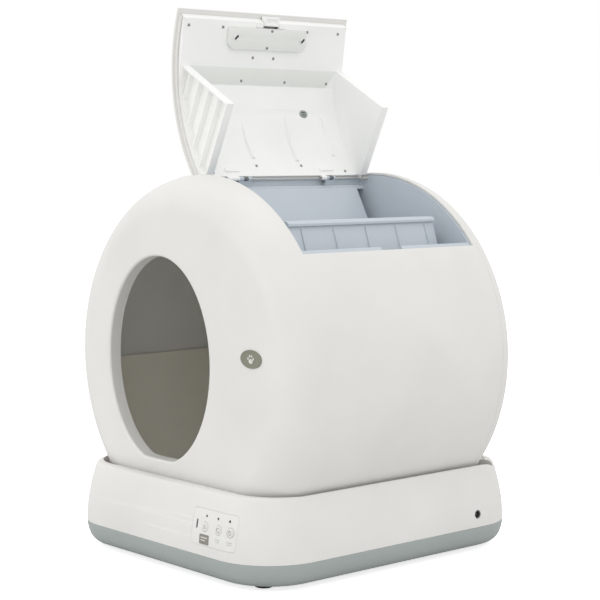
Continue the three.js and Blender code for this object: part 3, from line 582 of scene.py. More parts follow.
def base_shell():
    below = [section for section in SHELL_SECTIONS if section[0] < RIM_SOLID_Z]
    hollow = loft([(SHELL_SECTIONS[0][0] - 1.3, 0), *below[1:], (RIM_SOLID_Z, 11.2)], WALL)
    cradle = combine(cradle_form(WALL), common=[loft([(10, 14), *SHELL_SECTIONS])])
    socket = middle_mm("power_socket")
    socket_hole = prism(circle((socket.y, socket.z), 6.3), BASE_W / 2 - 12, BASE_W / 2 + 2, along_x)
    shell = combine(loft(SHELL_SECTIONS), cuts=[hollow])
    shell = combine(shell, joins=[cradle])
    holes = [cradle_form(0), deck_room(), *roller_slots(), *drive_holes(), socket_hole]
    return combine(shell, cuts=[*holes, front_patch(FASCIA, GAP, -2, 12)])


def base_tray():
    rows = base_rows(TRAY_SECTIONS)
    bm = skin(rows)
    bm.verts.ensure_lookup_table()
    floor = bm.verts[:len(rows[0])]
    bm.faces.new(reversed(floor))
    return bm


def control_panel():
    holes = []
    for kind, radius, count in (("button", KEY_HOLE_R, 48), ("led", LED_HOLE_R, 24)):
        for number in (1, 2, 3):
            centre = middle_mm(f"{kind}_{number}")
            holes.append(rod((centre.x, centre.z), radius, *FRONT_BAND, count))
    panel = front_patch(FASCIA, 0, 0, WALL)
    return combine(panel, cuts=[*holes, front_patch(LABEL, GAP, -1, 2), front_patch(SENSOR, GAP, -1, 8)])


def button(node):
    """A round key with a shallow dish, and its face at the CAD node's front."""
    low, high = box_mm(node)
    radius = (high.x - low.x) / 2
    face = low.y
    profile = [(0, face + 0.35), (radius * 0.6, face + 0.3), (radius - 1.1, face), (radius - 0.5, face + 0.1)]
    profile += [(radius - 0.12, face + 0.45), (radius, face + 0.9), (radius, high.y), (0, high.y)]
    centre = middle_mm(node)
    return turned(profile, about_y(centre.x, centre.z), 72)


def icon(node, kind):
    """Generic key marks: a power sign, a level bar or a turning arrow, printed in thin relief."""
    centre = middle_mm(node)
    x, z = centre.x, centre.z
    face = box_mm(node)[0].y
    start, end = face + 0.12, face + 0.5
    parts = []
    if kind == "power":
        parts.append(open_ring(x, z, 2.9, 0.65, 120, 420, start, end))
        parts.append(prism(slot_outline((x, z + 1.9), 3.4, 0.65, 90), start, end))
    if kind == "level":
        for i in range(3):
            bar = slot_outline((x, z - 1.9 + 1.9 * i), 5.4 - 1.3 * i, 0.7, 0)
            parts.append(prism(bar, start, end))
    if kind == "turn":
        parts.append(open_ring(x, z, 2.9, 0.65, 20, 300, start, end))
        tip = [(x + 1.1, z - 1.9), (x + 2.9, z - 3.6), (x + 3.3, z - 1.2)]
        parts.append(prism(tip, start, end))
    return merged(parts)


def open_ring(x, z, radius, width, start, end, near, far):
    """Part of a thin ring on the front face."""
    outside, inside = radius + width / 2, radius - width / 2
    turns = sweep(start, end, 40)
    outer = [(x + outside * cos, z + outside * sin) for cos, sin in turns]
    inner = [(x + inside * cos, z + inside * sin) for cos, sin in turns]
    return prism([*outer, *reversed(inner)], near, far)


def merged(parts):
    """Several separate meshes as one."""
    whole = bmesh.new()
    for part in parts:
        mesh = mesh_of(part)
        whole.from_mesh(mesh)
        bpy.data.meshes.remove(mesh)
    return whole


def label_lines():
    """Two pale rules printed on the label."""
    parts = []
    for lift, length in ((2.4, 14.0), (-1.2, 10.0)):
        line = Patch(LABEL.x + (length - 14) / 2, LABEL.z + lift, length, 1.3, 0.5)
        parts.append(front_patch(line, 0, -0.38, 0.5))
    return merged(parts)


def key_captions():
    """Two short grey rules printed under each of the second and third keys."""
    parts = []
    for node in ("button_2", "button_3"):
        for z, length in ((65.6, 10.0), (62.8, 8.0)):
            rule = Patch(middle_mm(node).x, z, length, 1.2, 0.5)
            parts.append(front_patch(rule, 0, -0.06, 0.5))
    return merged(parts)


def socket_shell():
    low, high = box_mm("power_socket")
    centre = middle_mm("power_socket")
    radius = (high.y - low.y) / 2
    face = high.x
    bore = [(0, face - 9), (3.6, face - 9), (3.6, face - 0.5), (4.1, face)]
    outside = [(radius - 0.6, face), (radius, face - 0.6), (radius, low.x), (0, low.x)]
    return turned([*bore, *outside], about_x(centre.y, centre.z), 64)


def socket_pin():
    face = box_mm("power_socket")[1].x
    centre = middle_mm("power_socket")
    profile = [(0, face - 9.2), (1, face - 9.2), (1, face - 2.4), (0.5, face - 1.8), (0, face - 1.7)]
    return turned(profile, about_x(centre.y, centre.z), 24)


def foot(node):
    low, high = box_mm(node)
    centre = middle_mm(node)
    radius = (high.x - low.x) / 2
    sole = [(0, 0.5), (6, 0.5), (7, 0), (radius - 2.8, 0)]
    side = [(radius - 1.6, 0.6), (radius - 0.6, 3), (radius, high.z), (0, high.z)]
    return turned([*sole, *side], about_z(centre.x, centre.y), 64)


def led_dome(node):
    low, high = box_mm(node)
    centre = middle_mm(node)
    radius = (high.x - low.x) / 2
    dome = [(0, low.y), (radius * 0.6, low.y + 0.2), (radius, low.y + 0.8), (radius, high.y), (0, high.y)]
    return turned(dome, about_y(centre.x, centre.z), 32)


def add_base():
    piece("base_tray_moulding", base_tray(), "base", GREY, ["base_tray"], wall=WALL, bevel=0.6)
    piece("base_shell_moulding", base_shell(), "base", WHITE, ["base_shell"], bevel=1.4)
    panel = control_panel()
    piece("control_panel_face", panel, "base", PANEL_WHITE, ["control_panel"], bevel=0.35, segments=2)
    label = front_patch(LABEL, 0, -0.3, 1)
    piece("panel_label_plate", label, "base", LABEL_BROWN, ["panel_label"], bevel=0.15)
    piece("panel_label_lines", label_lines(), "base", PRINT_PALE, bevel=0)
    piece("panel_key_captions", key_captions(), "base", CAPTION_GREY, bevel=0)
    piece("panel_sensor_lens", front_patch(SENSOR, 0, 0.2, 5), "base", DARK, ["panel_sensor"], bevel=0.3)
    for i, kind in enumerate(("level", "turn", "power"), 1):
        piece(f"button_{i}_cap", button(f"button_{i}"), f"key_{i}", PANEL_WHITE, [f"button_{i}"], bevel=0)
        piece(f"button_{i}_mark", icon(f"button_{i}", kind), f"key_{i}", PRINT_GREY, bevel=0)
        piece(f"led_{i}_dome", led_dome(f"led_{i}"), "base", DARK, [f"led_{i}"], bevel=0)
    piece("power_socket_body", socket_shell(), "base", DARK, ["power_socket"], bevel=0)
    piece("power_socket_pin", socket_pin(), "base", STEEL, bevel=0)
    for end in ("front_left", "front_right", "rear_left", "rear_right"):
        piece(f"foot_{end}_pad", foot(f"foot_{end}"), "base", RUBBER, [f"foot_{end}"], bevel=0)
        keep_node(f"roller_bracket_{end}", NYLON)
        keep_node(f"roller_{end}", RUBBER, 1.0)
    for node in ("roller_axle_left", "roller_axle_right", "gear_motor", "motor_bracket"):
        keep_node(node, STEEL, 0.8)
    keep_node("control_board", BOARD, 0.2)
    keep_node("drive_pinion", NYLON, 0.3)


# ---- drum ----
def entrance_point(degrees, grow):
    """A point on the oval entrance, whose bottom is eased into a level sill."""
    angle = math.radians(degrees)
    x = ENTRANCE["x"] + (ENTRANCE["half_width"] + grow) * math.cos(angle)
    z = ENTRANCE["z"] + (ENTRANCE["half_height"] + grow) * math.sin(angle)
    sill = ENTRANCE["floor"] - grow
    above = z - sill
    return x, sill + (above + math.hypot(above, 2)) / 2


def drum_angles():
    """Columns round the drum, about 1.25 degrees apart, with one at each edge of the top opening."""
    opening = spread(OPENING["from"], OPENING["to"], WINDOW_COLUMNS)
    rest = spread(OPENING["to"], OPENING["from"] + 360, 240)
    return opening[:-1] + rest[:-1]


def drum_shell():
    angles = drum_angles()
    rows = []

    def entrance_row(grow, y):
        points = [entrance_point(angle, grow) for angle in angles]
        rows.append([(x, y, z) for x, z in points])

    def ring_row(radius, y):
        rows.append([(x, y, z) for x, z in (polar(angle, radius) for angle in angles)])

    lip_start = DRUM_FRONT + LIP_ROUND
    for y in spread(DRUM_FRONT + ENTRANCE["lip"], lip_start, 4):
        entrance_row(0, y)
    for cos, sin in sweep(0, 90, 6)[1:]:
        entrance_row(LIP_ROUND * (1 - cos), lip_start - LIP_ROUND * sin)
    flat = rows[-1]
    face_r = DRUM_R - FRONT_FILLET
    face_edge = [(x, DRUM_FRONT, z) for x, z in (polar(angle, face_r) for angle in angles)]
    for share in spread(0, 1, 8)[1:-1]:
        rows.append([tuple(Vector(a).lerp(Vector(b), share)) for a, b in zip(flat, face_edge)])
    for cos, sin in sweep(0, 90, 16):
        ring_row(face_r + FRONT_FILLET * sin, DRUM_FRONT + FRONT_FILLET * (1 - cos))
    first_window_row = len(rows)
    for y in spread(OPENING["front"], OPENING["rear"], 12):
        ring_row(DRUM_R, y)
    last_window_row = len(rows) - 1
    ring_row(DRUM_R, DRUM_SPLIT)

    def keep(row, column):
        return not (column < WINDOW_COLUMNS and first_window_row <= row < last_window_row)

    bm = skin(rows, keep=keep)
    turn_faces(bm, 0, 1)
    return bm


def turn_faces(bm, axis, way):
    """Turns an open shell so that its furthest face along an axis looks that way, 1 or -1."""
    bmesh.ops.recalc_face_normals(bm, faces=bm.faces)
    bm.normal_update()
    far = max(bm.faces, key=lambda face: face.calc_center_median()[axis])
    if far.normal[axis] * way < 0:
        bmesh.ops.reverse_faces(bm, faces=bm.faces)


def rear_cover():
    centre_r = DRUM_R - REAR_FILLET
    centre_y = DRUM_REAR - REAR_FILLET
    profile = [(DRUM_R, DRUM_SPLIT + GAP)]
    for cos, sin in sweep(0, 90, 10):
        profile.append((centre_r + REAR_FILLET * cos, centre_y + REAR_FILLET * sin))
    profile += [(200, DRUM_REAR), (100, DRUM_REAR), (0, DRUM_REAR)]
    bm = turned(profile, about_y(*DRUM_AXIS), 288)
    turn_faces(bm, 0, 1)
    return bm


def bed_front():
    """Radius and depth down the litter bed's front wall and round its corner."""
    wall = BED_FRONT + WALL
    centre_r, centre_y = BED_R - BED_FRONT_CORNER, wall + BED_FRONT_CORNER
    profile = [(BED_LIP_R, wall), (BED_R - 2 * BED_FRONT_CORNER, wall)]
    for cos, sin in sweep(-90, 0, 6):
        profile.append((centre_r + BED_FRONT_CORNER * cos, centre_y + BED_FRONT_CORNER * sin))
    return profile


def bed_back():
    """Radius and depth from the barrel round the rear corner to the middle of the rear wall."""
    back = BED_REAR - WALL
    profile = []
    for cos, sin in sweep(0, 90, 8):
        profile.append((BED_R - BED_CORNER + BED_CORNER * cos, back - BED_CORNER + BED_CORNER * sin))
    return profile + [(160, back), (80, back), (0, back)]


def bed_part(profile, low, high):
    """The part of a liner's turned profile that lies between two heights."""
    bm = turned(profile, about_y(*DRUM_AXIS), 192)
    for height, way in ((low, -1), (high, 1)):
        geometry = [*bm.verts, *bm.edges, *bm.faces]
        level = {"plane_co": (0, 0, height), "plane_no": (0, 0, way)}
        bmesh.ops.bisect_plane(bm, geom=geometry, clear_outer=True, **level)
    turn_faces(bm, 1, -1)
    return bm


def upper_liner():
    """The rear wall above the seam, and the barrel as far round as the bin's tub."""
    bm = bed_part(bed_back(), BED_SEAM + SEAM_GAP, DRUM_Z + BED_R)
    clear = []
    for face in bm.faces:
        centre = face.calc_center_median()
        angle = math.degrees(math.atan2(centre.z - DRUM_Z, centre.x))
        if centre.y < BED_REAR - WALL - BED_CORNER and angle < UPPER_LINER_ANGLE:
            clear.append(face)
    bmesh.ops.delete(bm, geom=clear, context="FACES")
    return bm


def sieve_grille():
    seam = math.degrees(math.asin((BED_SEAM + SEAM_GAP - DRUM_Z) / BED_R))
    ring = sector(BED_R, BED_R + WALL, seam, SIEVE["top"])
    plate = prism(ring, BED_FRONT, BED_REAR - WALL - GAP)
    slots = []
    for i in range(SIEVE["slots"]):
        y = BED_FRONT + SIEVE["first"] + SIEVE["pitch"] * i
        slot = sector(BED_R - 5, BED_R + 10, *SIEVE["angles"])
        slots.append(prism(slot, y, y + SIEVE["width"]))
    return combine(plate, cuts=slots)


def slope_point(z, distance):
    """A point at a height on the bin's slanted panel, pushed outwards by a distance."""
    start = BIN_SLOPE_TOP + Vector((BIN_SLOPE.y, -BIN_SLOPE.x)) * distance
    return start.x + (start.y - z) * BIN_SLOPE.x / -BIN_SLOPE.y, z


def tail_pockets():
    """Cylinders at both ends of the tub, in which the lid's tail swings."""
    pockets = []
    for start, end in ((FLANGE["front"], TUB_Y[0]), (TUB_Y[1], FLANGE["rear"] - THIN)):
        bar = rod(HINGE_LINE, LID_TAIL_SWING + THIN, start, end)
        within = rod(DRUM_AXIS, FLANGE["inner"] + 0.1, start - 1, end + 1, 288)
        pockets.append(combine(bar, common=[within]))
    return pockets


def tail_swings():
    ends = ((OPENING["front"], TUB_Y[0] + 1), (TUB_Y[1] - 1, OPENING["rear"]))
    return [rod(HINGE_LINE, LID_TAIL_SWING, *pair) for pair in ends]


def bin_tub():
    inner, outer = FLANGE["inner"], FLANGE["outer"]
    inside = [
        (TUB_LEFT_X, TUB_LEDGE_Z + 60), (TUB_LEFT_X, TUB_LEDGE_Z),
        slope_point(TUB_LEDGE_Z, RECESS["near"]), slope_point(TUB_FLOOR, RECESS["near"]),
        (TUB_RIGHT_X, TUB_FLOOR), polar(LIP_ANGLE, inner), polar(LIP_ANGLE, inner + 60),
    ]
    walls = prism(inset(inside, -THIN), TUB_Y[0] - THIN, TUB_Y[1] + THIN)
    walls = combine(walls, common=[rod(DRUM_AXIS, inner + 0.1, TUB_Y[0] - 5, TUB_Y[1] + 5, 288)])
    ring = sector(inner, outer, FLANGE["from"], FLANGE["to"])
    flange = prism(ring, FLANGE["front"], FLANGE["rear"])
    notch = prism(sector(inner - 8, outer + 2, *LATCH_NOTCH["angles"]), *LATCH_NOTCH["y"])
    top, bottom, near, far = RECESS["top"], RECESS["bottom"], RECESS["near"], RECESS["far"]
    recess = [slope_point(z, depth) for z, depth in ((top, near), (bottom, near), (bottom, far), (top, far))]
    recess_walls = prism(inset(recess, -THIN), BIN_Y[1], TUB_Y[1] + THIN)
    recess_room = prism(inset(recess, -0.1), BIN_Y[1] + THIN, TUB_Y[1])
    cavity = prism(inside, *TUB_Y)
    cuts = [cavity, block(*TUB_INLET), notch, recess_room, *tail_swings()]
    return combine(flange, joins=[walls, recess_walls, *tail_pockets()], cuts=cuts)


def waste_bin():
    rail_x, rail_z = RAIL
    foot_x, foot_z = DIVIDER_FOOT
    outline = [slope_point(533, THIN), slope_point(BIN_FLOOR, THIN), DIVIDER_FOOT, RAIL]
    back, front, under = rail_x - THIN, rail_x + BEAD["reach"], rail_z - BEAD["height"]
    over = [(back, rail_z), (back, rail_z + 60), slope_point(540, 0)]
    inside = [*over, slope_point(BIN_FLOOR + THIN, 0), (foot_x - THIN - 1, BIN_FLOOR + THIN)]
    body = prism(outline, *BIN_Y)
    bead = [
        (back, under), (front, under), (front, rail_z - BEAD["chamfer"]),
        (rail_x + BEAD["top"], rail_z), (back, rail_z),
    ]
    rib_top = [(rail_x, rail_z - 6), (rail_x + 6, rail_z - 12)]
    rib = [*rib_top, (foot_x + 1, foot_z + 8), (foot_x - 2, foot_z + 2)]
    ribs = [prism(rib, y - 0.9, y + 0.9) for y in RIB_Y]
    hollow = prism(inside, BIN_Y[0] + THIN, BIN_Y[1] - THIN)
    divider_slope = (foot_x - rail_x - 1) / (rail_z - BIN_FLOOR - THIN)
    divider_x = back + (rail_z - BIN_END_Z) * divider_slope
    above_ends = [*over, slope_point(BIN_END_Z, 0), (divider_x, BIN_END_Z)]
    lowered = prism(above_ends, BIN_Y[0] - 1, BIN_Y[1] + 1)
    return combine(body, joins=[prism(bead, *BIN_Y), *ribs], cuts=[hollow, lowered])


def hinge_clip(node):
    """A thin dark sleeve round the middle of a hinge bracket's eye."""
    centre = middle_mm(node)
    start, end = centre.y - 4, centre.y + 4
    sleeve = rod(HINGE_LINE, KNUCKLE_R + 0.35, start, end, 32)
    bore = rod(HINGE_LINE, KNUCKLE_R - 0.4, start - 1, end + 1, 32)
    return combine(sleeve, cuts=[bore])


def badge_plate():
    """The badge's oval plate, with a raised border."""
    centre = middle_mm("drum_badge")
    low, high = box_mm("drum_badge")
    half_width = (high.x - low.x) / 2
    half_height = (high.z - low.z) / 2
    face, floor = low.y, low.y + 0.5
    rim = [(1, high.y), (1, floor), (0.97, face), (0.9, face), (0.87, face + 0.55)]
    rows = []
    for share, y in (*rim, (0.4, floor), (0.05, floor)):
        outline = ellipse((centre.x, centre.z), half_width * share, half_height * share)
        rows.append([(x, y, z) for x, z in outline])
    return capped(rows)


def badge_mark():
    """A generic paw in pale relief: one pad and four toes."""
    centre = middle_mm("drum_badge")
    low = box_mm("drum_badge")[0]
    start, end = low.y + 0.05, low.y + 0.7
    parts = [prism(ellipse((centre.x, centre.z - 2.8), 4.2, 3.3, 36), start, end)]
    for across, up in ((-5.4, 0.6), (-2.1, 4.1), (2.1, 4.1), (5.4, 0.6)):
        parts.append(prism(ellipse((centre.x + across, centre.z + up), 1.35, 1.9, 24), start, end))
    return merged(parts)


def add_drum():
    piece("drum_shell_moulding", drum_shell(), "drum", WHITE, ["drum_shell"], wall=WALL, bevel=0.8)
    piece("drum_rear_moulding", rear_cover(), "drum", WHITE, ["drum_rear_cover"], wall=WALL, bevel=0.5)
    bed = bed_part(bed_front() + bed_back(), 0, BED_SEAM)
    piece("litter_bed_bowl", bed, "drum", INNER, ["litter_bed"], wall=WALL, bevel=0.8)
    piece("upper_liner_wall", upper_liner(), "drum", WHITE_INNER, ["upper_liner"], wall=WALL, bevel=0.8)
    piece("sieve_grille_plate", sieve_grille(), "drum", INNER, ["sieve_grille"], bevel=0.6)
    piece("bin_tub_moulding", bin_tub(), "drum", BIN, ["bin_tub"], bevel=0.8)
    piece("waste_bin_moulding", waste_bin(), "drum", BIN, ["waste_bin"], bevel=0.6)
    piece("drum_badge_plate", badge_plate(), "drum", BADGE, ["drum_badge"], bevel=0)
    piece("drum_badge_mark", badge_mark(), "drum", PRINT_PALE, bevel=0.2)
    keep_node("gear_disc", NYLON, 0.6)
    for end in ("front", "rear"):
        keep_node(f"hinge_bracket_{end}", BIN, 0.3)
        piece(f"hinge_clip_{end}", hinge_clip(f"hinge_bracket_{end}"), "drum", CLIP_GREY, bevel=0)
        keep_node(f"hinge_pin_{end}", STEEL, 0.2)


# ---- lid, made shut and then swung open ----
SWING = (
    Matrix.Translation(HINGE)
    @ Matrix.Rotation(-math.radians(LID_OPEN), 4, "Y")
    @ Matrix.Translation(-HINGE)
)


def surface_space(origin, along):
    """A space on the lid's inner face: x along a direction, y as the drum, z into the drum."""
    into = along.cross(Vector((0, 1, 0)))
    space = Matrix((along, (0, 1, 0), into)).transposed().to_4x4()
    return Matrix.Translation(origin) @ space


def chord_space(start, end, share, y=0):
    """A space on the flat between two polar points, a share of the way up it, whose x runs up it."""
    start_x, start_z = polar(*start)
    end_x, end_z = polar(*end)
    low, high = Vector((start_x, y, start_z)), Vector((end_x, y, end_z))
    return surface_space(low.lerp(high, share), (high - low).normalized())


ON_PANEL = chord_space(*CHORD, 0)


def ledge_space(y):
    """A space on the sloping ledge between the flat panel and the scoop."""
    return chord_space(CHORD[1], (LEDGE_END, LINER_R), 0.75, y)


def scoop_space(degrees, y):
    """A space on the scoop's curved panel, whose x runs towards the hinge."""
    x, z = polar(degrees, LINER_R)
    angle = math.radians(degrees)
    return surface_space((x, y, z), Vector((-math.sin(angle), 0, math.cos(angle))))


def on_panel(outline, low, high):
    bm = prism(outline, low, high, along_z)
    bm.transform(ON_PANEL)
    return bm


def rectangle(x0, x1, y0, y1):
    return [(x0, y0), (x1, y0), (x1, y1), (x0, y1)]


def lid_shell():
    shell = prism(sector(DRUM_R - WALL, DRUM_R, LID["from"], LID["to"]), LID["front"], LID["rear"])
    skirt_r = DRUM_R - WALL - 5
    skirts = []
    for start in (TUB_Y[0] + SKIRT_GAP, TUB_Y[1] - SKIRT_GAP - THIN):
        ring = sector(skirt_r, DRUM_R - 1, SKIRT["from"], SKIRT["to"])
        skirts.append(prism(ring, start, start + THIN))
    return combine(shell, joins=skirts)


def liner_outline():
    (edge, edge_r), (fold, fold_r) = CHORD
    seen = [polar(39.4, LINER_R + 4.6), polar(edge, edge_r), polar(fold, fold_r)]
    behind = [polar(fold + 0.4, fold_r + THIN + 0.2), polar(edge + 0.9, edge_r + THIN)]
    scoop = arc(LEDGE_END, LINER_END, LINER_R) + arc(LINER_END, LEDGE_END, LINER_R + THIN)
    return [*seen, *scoop, *behind, polar(40.1, LINER_R + 4.6)]


def cheek_outline():
    return [*CHEEK, polar(LINER_END - 0.4, LINER_R + 1), *arc(91, LEDGE_END, LINER_R + 1, 2.5),
            polar(CHORD[1][0] + 0.5, CHORD[1][1] + 1)]


def fin_outline(distance):
    """A strip alongside the cheek's long free edge, at a distance from it."""
    corner = Vector(CHEEK[1])
    edge = (Vector(CHEEK[2]) - corner).normalized()
    across = Vector((edge.y, -edge.x))
    far = distance + FINS["thickness"]
    ends = [(-40, distance), (-40, far), (180, far), (180, distance)]
    return [tuple(corner + edge * along + across * out) for along, out in ends]


def lid_cheek(inner, outer):
    """An end wall of the scoop: a thin inner face with a deep edge, and fins on its outside."""
    away = math.copysign(1, outer - inner)
    outline = cheek_outline()
    pocket = prism(inset(outline, THIN), inner + away * THIN, outer + away)
    cheek = combine(prism(outline, inner, outer), cuts=[pocket])
    fins = []
    for i in range(FINS["count"]):
        strip = prism(fin_outline(FINS["first"] + FINS["pitch"] * i), inner + away, outer - away * 2)
        fins.append(combine(strip, common=[prism(outline, inner, outer)]))
    return combine(cheek, joins=fins)


def liner_end(y):
    """A thin wall that closes the space between the liner and the lid's shell."""
    ring = sector(CHORD[1][1] - 5, DRUM_R - WALL - 0.5, SKIRT["from"] + GAP, SKIRT["to"])
    inside = [DRUM_AXIS, polar(*CHORD[0]), polar(*CHORD[1]), *arc(LEDGE_END, LINER_END, LINER_R)]
    return combine(prism(ring, y, y + THIN), cuts=[prism(inside, y - 1, y + THIN + 1)])


def lid_liner():
    panel = prism(liner_outline(), *LINER_Y)
    ends = [liner_end(LINER_Y[0]), liner_end(LINER_Y[1] - THIN)]
    knuckles = []
    for start, end in KNUCKLES:
        web = sector(LINER_R, LINER_R + THIN, LINER_END - 1, HINGE_ANGLE)
        knuckles.append(prism(web, start, end))
        knuckles.append(rod(HINGE_LINE, KNUCKLE_R, start, end, 32))
    bores = [rod(HINGE_LINE, KNUCKLE_BORE, a - 1, b + 1, 24) for a, b in KNUCKLES]
    (fx0, fx1), (fy0, fy1) = FILTER["x"], FILTER["y"]
    filter_hole = on_panel(rectangle(fx0 - GAP, fx1 + GAP, fy0 - GAP, fy1 + GAP), -9, 3)
    latch_room = rectangle(-12, LATCH["x"][1] + 4, LATCH["y"][0] - 1, LATCH["y"][1] + 1)
    latch_hole = on_panel(latch_room, -9, 4)
    vent = prism(ellipse((0, 0), VENT["half_x"] + GAP, VENT["half_y"] + GAP), -8, 8, along_z)
    vent.transform(scoop_space(VENT["angle"], VENT["y"]))
    cheeks = [lid_cheek(*cheek) for cheek in CHEEKS]
    boss = on_panel(rectangle(*LATCH_BOSS["x"], *LATCH_BOSS["y"]), -1, LATCH_BOSS["z"])
    cuts = [*bores, filter_hole, latch_hole, vent]
    return combine(panel, joins=[*ends, *cheeks, *knuckles, boss], cuts=cuts)


def filter_cover():
    (x0, x1), (y0, y1), chamfer = COVER["x"], COVER["y"], COVER["chamfer"]
    outline = [(x0 + 3, y0), (x1 - chamfer, y0), (x1, y0 + chamfer), (x1, y1 - chamfer),
               (x1 - chamfer, y1), (x0 + 3, y1), (x0, y1 - 3), (x0, y0 + 3)]
    holes = [on_panel(circle((LOCK_X, y), 2.7, 32), -1, 6) for y in LOCK_Y.values()]
    return combine(on_panel(outline, *COVER["z"]), cuts=holes)


def turn_lock(y):
    """A low round head, with a stem that passes through the cover."""
    top = COVER["z"][1] + 1.2
    head = prism(circle((LOCK_X, y), LOCK_R, 48), COVER["z"][1] + GAP, top, along_z)
    stem = prism(circle((LOCK_X, y), 2.2, 32), 0.8, COVER["z"][1] + 1, along_z)
    lock = combine(head, joins=[stem])
    lock.transform(ON_PANEL)
    return lock


def lock_bar(y):
    """The raised bar that a finger turns, set at 45 degrees."""
    return on_panel(slot_outline((LOCK_X, y), 8.4, 3.2, -45), COVER["z"][1] + 1.2, COVER["z"][1] + 2.2)


def lid_latch():
    (x0, x1), (y0, y1), (z0, z1) = LATCH["x"], LATCH["y"], LATCH["z"]
    hollow = on_panel(rectangle(x0 + 4, x1 - 3, y0 + 5, y1 - 5), z1 - 2, z1 + 1)
    return combine(on_panel(rectangle(x0, x1, y0, y1), z0, z1), cuts=[hollow])


def screw_head():
    """A small pan head with a cross recess, centred on the origin and facing +Z."""
    profile = [(0, -0.6), (2.3, -0.6), (2.3, 0.25), (1.9, 0.7), (1.0, 0.95), (0, 1.0)]
    head = turned(profile, along_z, 24)
    sizes = ((1.3, 0.28), (0.28, 1.3))
    return combine(head, cuts=[prism(rectangle(-x, x, -y, y), 0.3, 2, along_z) for x, y in sizes])


def add_screws():
    places = [ON_PANEL @ Matrix.Translation((x, y, 0)) for x, y in PANEL_SCREWS]
    places += [ON_PANEL @ Matrix.Translation((x, y, COVER["z"][1])) for x, y in COVER_PINS]
    places += [ledge_space(y) for y in LEDGE_SCREWS]
    places += [scoop_space(angle, y) for angle, y in SCOOP_SCREWS]
    for i, place in enumerate(places, 1):
        head = screw_head()
        head.transform(place)
        piece(f"lid_screw_{i}", head, "lid", SCREW, bevel=0)


def swoosh(path):
    """A shallow moulded ridge that curves down the scoop, wide at the hinge end."""
    rows = []
    track = smooth_curve(path, 10)
    for i, (angle, y) in enumerate(track):
        share = i / (len(track) - 1)
        half = 1.6 + 2.8 * share
        lift = 0.5 + 3.6 * math.sqrt(math.sin(math.pi * (0.03 + 0.94 * share)))
        row = []
        for side in spread(-1, 1, 10):
            x, z = polar(angle, LINER_R + 0.3 - lift * (1 - side * side))
            row.append((x, y + side * half, z))
        foot_x, foot_z = polar(angle, LINER_R + 0.8)
        row += [(foot_x, y + half, foot_z), (foot_x, y - half, foot_z)]
        rows.append(row)
    return capped(rows)


def ledge_shade_band():
    """The ledge's face, drawn as its own thin plate with mitred ends, in a darker white than the liner:
    painted shade for the downward-facing ledge.
    """
    width = (Vector(polar(*CHORD[1])) - Vector(polar(LEDGE_END, LINER_R))).length
    near, far = -0.75 * width + 1, 0.25 * width - 1
    front, rear = CHEEKS[0][0] + 0.5, CHEEKS[1][0] - 0.5
    mitre = 18
    outline = [(near, front), (far, front + mitre), (far, rear - mitre), (near, rear)]
    bm = prism(outline, -0.5, 0.25, along_z)
    bm.transform(ledge_space(0))
    return bm


def knuckle_pad(y0, y1):
    outline = rounded_rectangle((0, (y0 + y1) / 2), 8, y1 - y0, 1.5, 4)
    bm = prism(outline, -0.2, 1.6, along_z)
    bm.transform(scoop_space(KNUCKLE_PAD_ANGLE, 0))
    return bm


def vent_grille():
    """An oval vent set in the scoop, with three slots."""
    plate = prism(ellipse((0, 0), VENT["half_x"], VENT["half_y"]), -2.2, 0.3, along_z)
    length = VENT["half_y"] * 1.2
    slots = [prism(slot_outline((x, 0), length, 1.4, 90), -3, 1, along_z) for x in (-2.8, 0, 2.8)]
    grille = combine(plate, cuts=slots)
    grille.transform(scoop_space(VENT["angle"], VENT["y"]))
    return grille


def add_lid():
    piece("lid_shell_moulding", lid_shell(), "lid", WHITE, ["lid_shell"], bevel=0, flat=True)
    piece("lid_liner_moulding", lid_liner(), "lid", LINER, ["lid_liner"], bevel=0.9, angle=9)
    piece("filter_cover_lid", filter_cover(), "lid", COVER_WHITE_AND_LEDGE_SHADE, ["filter_cover"], bevel=2.2)
    piece("lid_latch_catch", lid_latch(), "latch", LINER, ["lid_latch"], bevel=0.8)
    for end, y in LOCK_Y.items():
        body = f"filter_lock_{end}"
        piece(f"turn_lock_{end}_head", turn_lock(y), body, LINER, [f"turn_lock_{end}"], bevel=0.4)
        piece(f"turn_lock_{end}_bar", lock_bar(y), body, DARK, bevel=0.4)
    # A darker plate over the liner's own ledge: painted shade, not a separate part.
    piece("lid_ledge_painted_shade", ledge_shade_band(), "lid", COVER_WHITE_AND_LEDGE_SHADE, bevel=0.15)
    piece("lid_vent", vent_grille(), "lid", GREY, bevel=0.3)
    for i, path in enumerate(SWOOSHES, 1):
        piece(f"lid_ridge_{i}", swoosh(path), "lid", LINER, bevel=0)
    for i, (y0, y1) in enumerate(KNUCKLE_PADS, 1):
        piece(f"knuckle_pad_{i}", knuckle_pad(y0, y1), "lid", LINER, bevel=0.5)
    add_screws()
    keep_node("carbon_filter", CARBON, 0.6)


# ---- studio ----
CAMERA_AZIMUTH = 48.9
CAMERA_ELEVATION = 5.0
CAMERA_PLACE = (1.8835, -1.6334, 0.5847)
CAMERA_LENS = 100.53
FLOOR_COLOUR = (0.87, 0.87, 0.87)
FLOOR_GLOW = 0.75
WORLD_LIGHT = 1.0
LIGHT_AIM = Vector((0, 0, 0.3))
KEY_LIGHT = {"place": (-0.9, -3.0, 0.9), "size": 1.6, "power": 6}
TOP_LIGHT = {"place": (0.4, -0.3, 3.0), "size": 2.2, "power": 5}
FLOOR_HALF = 30.0


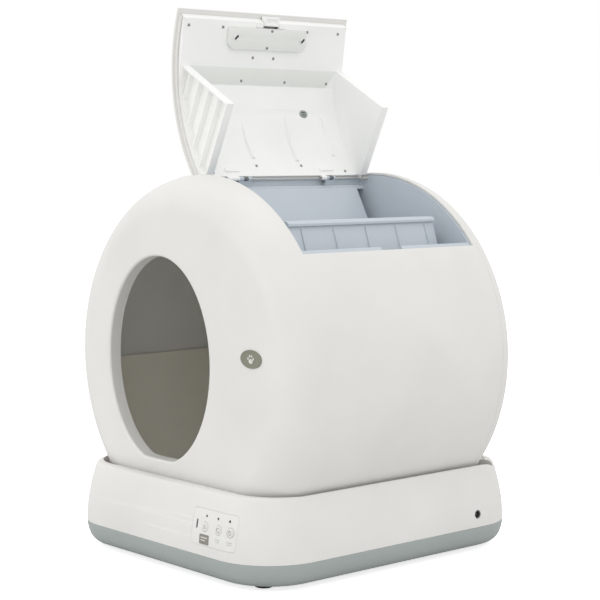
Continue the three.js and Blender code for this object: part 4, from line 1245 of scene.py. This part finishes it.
def add_camera():
    azimuth, elevation = math.radians(CAMERA_AZIMUTH), math.radians(CAMERA_ELEVATION)
    level = math.cos(elevation)
    back = Vector((math.sin(azimuth) * level, -math.cos(azimuth) * level, math.sin(elevation)))
    camera = add_object("camera", bpy.data.cameras.new("camera"))
    camera.data.lens = CAMERA_LENS
    camera.location = CAMERA_PLACE
    camera.rotation_mode = "QUATERNION"
    camera.rotation_quaternion = (-back).to_track_quat("-Z", "Y")
    bpy.context.scene.camera = camera


def add_light(name, light):
    lamp = bpy.data.lights.new(name, "AREA")
    lamp.shape = "DISK"
    lamp.size = light["size"]
    lamp.energy = light["power"]
    thing = add_object(name, lamp)
    thing.location = light["place"]
    thing.rotation_mode = "QUATERNION"
    thing.rotation_quaternion = (LIGHT_AIM - Vector(light["place"])).to_track_quat("-Z", "Y")


def camera_rays_only(tree, strength):
    """A strength that acts only where the camera looks straight at the surface."""
    rays = tree.nodes.new("ShaderNodeLightPath")
    scaled = tree.nodes.new("ShaderNodeMath")
    scaled.operation = "MULTIPLY"
    scaled.inputs[1].default_value = strength
    tree.links.new(rays.outputs["Is Camera Ray"], scaled.inputs[0])
    return scaled.outputs["Value"]


def add_floor():
    material = surface("floor", FLOOR_COLOUR, 0.7, tint=0.004)[1]
    tree = material.node_tree
    shader = tree.nodes["Principled BSDF"]
    set_inputs(shader, {"Emission Color": (1, 1, 1, 1)})
    tree.links.new(camera_rays_only(tree, FLOOR_GLOW), shader.inputs["Emission Strength"])
    mesh = bpy.data.meshes.new("floor")
    corners = [(x, y, 0) for x, y in rectangle(-FLOOR_HALF, FLOOR_HALF, -FLOOR_HALF, FLOOR_HALF)]
    mesh.from_pydata(corners, [], [(0, 1, 2, 3)])
    mesh.materials.append(material)
    add_object("floor", mesh)


def add_studio():
    world = bpy.data.worlds.new("studio")
    world.use_nodes = True
    background = world.node_tree.nodes["Background"]
    set_inputs(background, {"Color": (1, 1, 1, 1), "Strength": WORLD_LIGHT})
    bpy.context.scene.world = world
    add_light("key", KEY_LIGHT)
    add_light("top", TOP_LIGHT)
    bpy.context.scene.view_settings.view_transform = "Standard"


add_base()
add_drum()
add_lid()
add_camera()
add_floor()
add_studio()
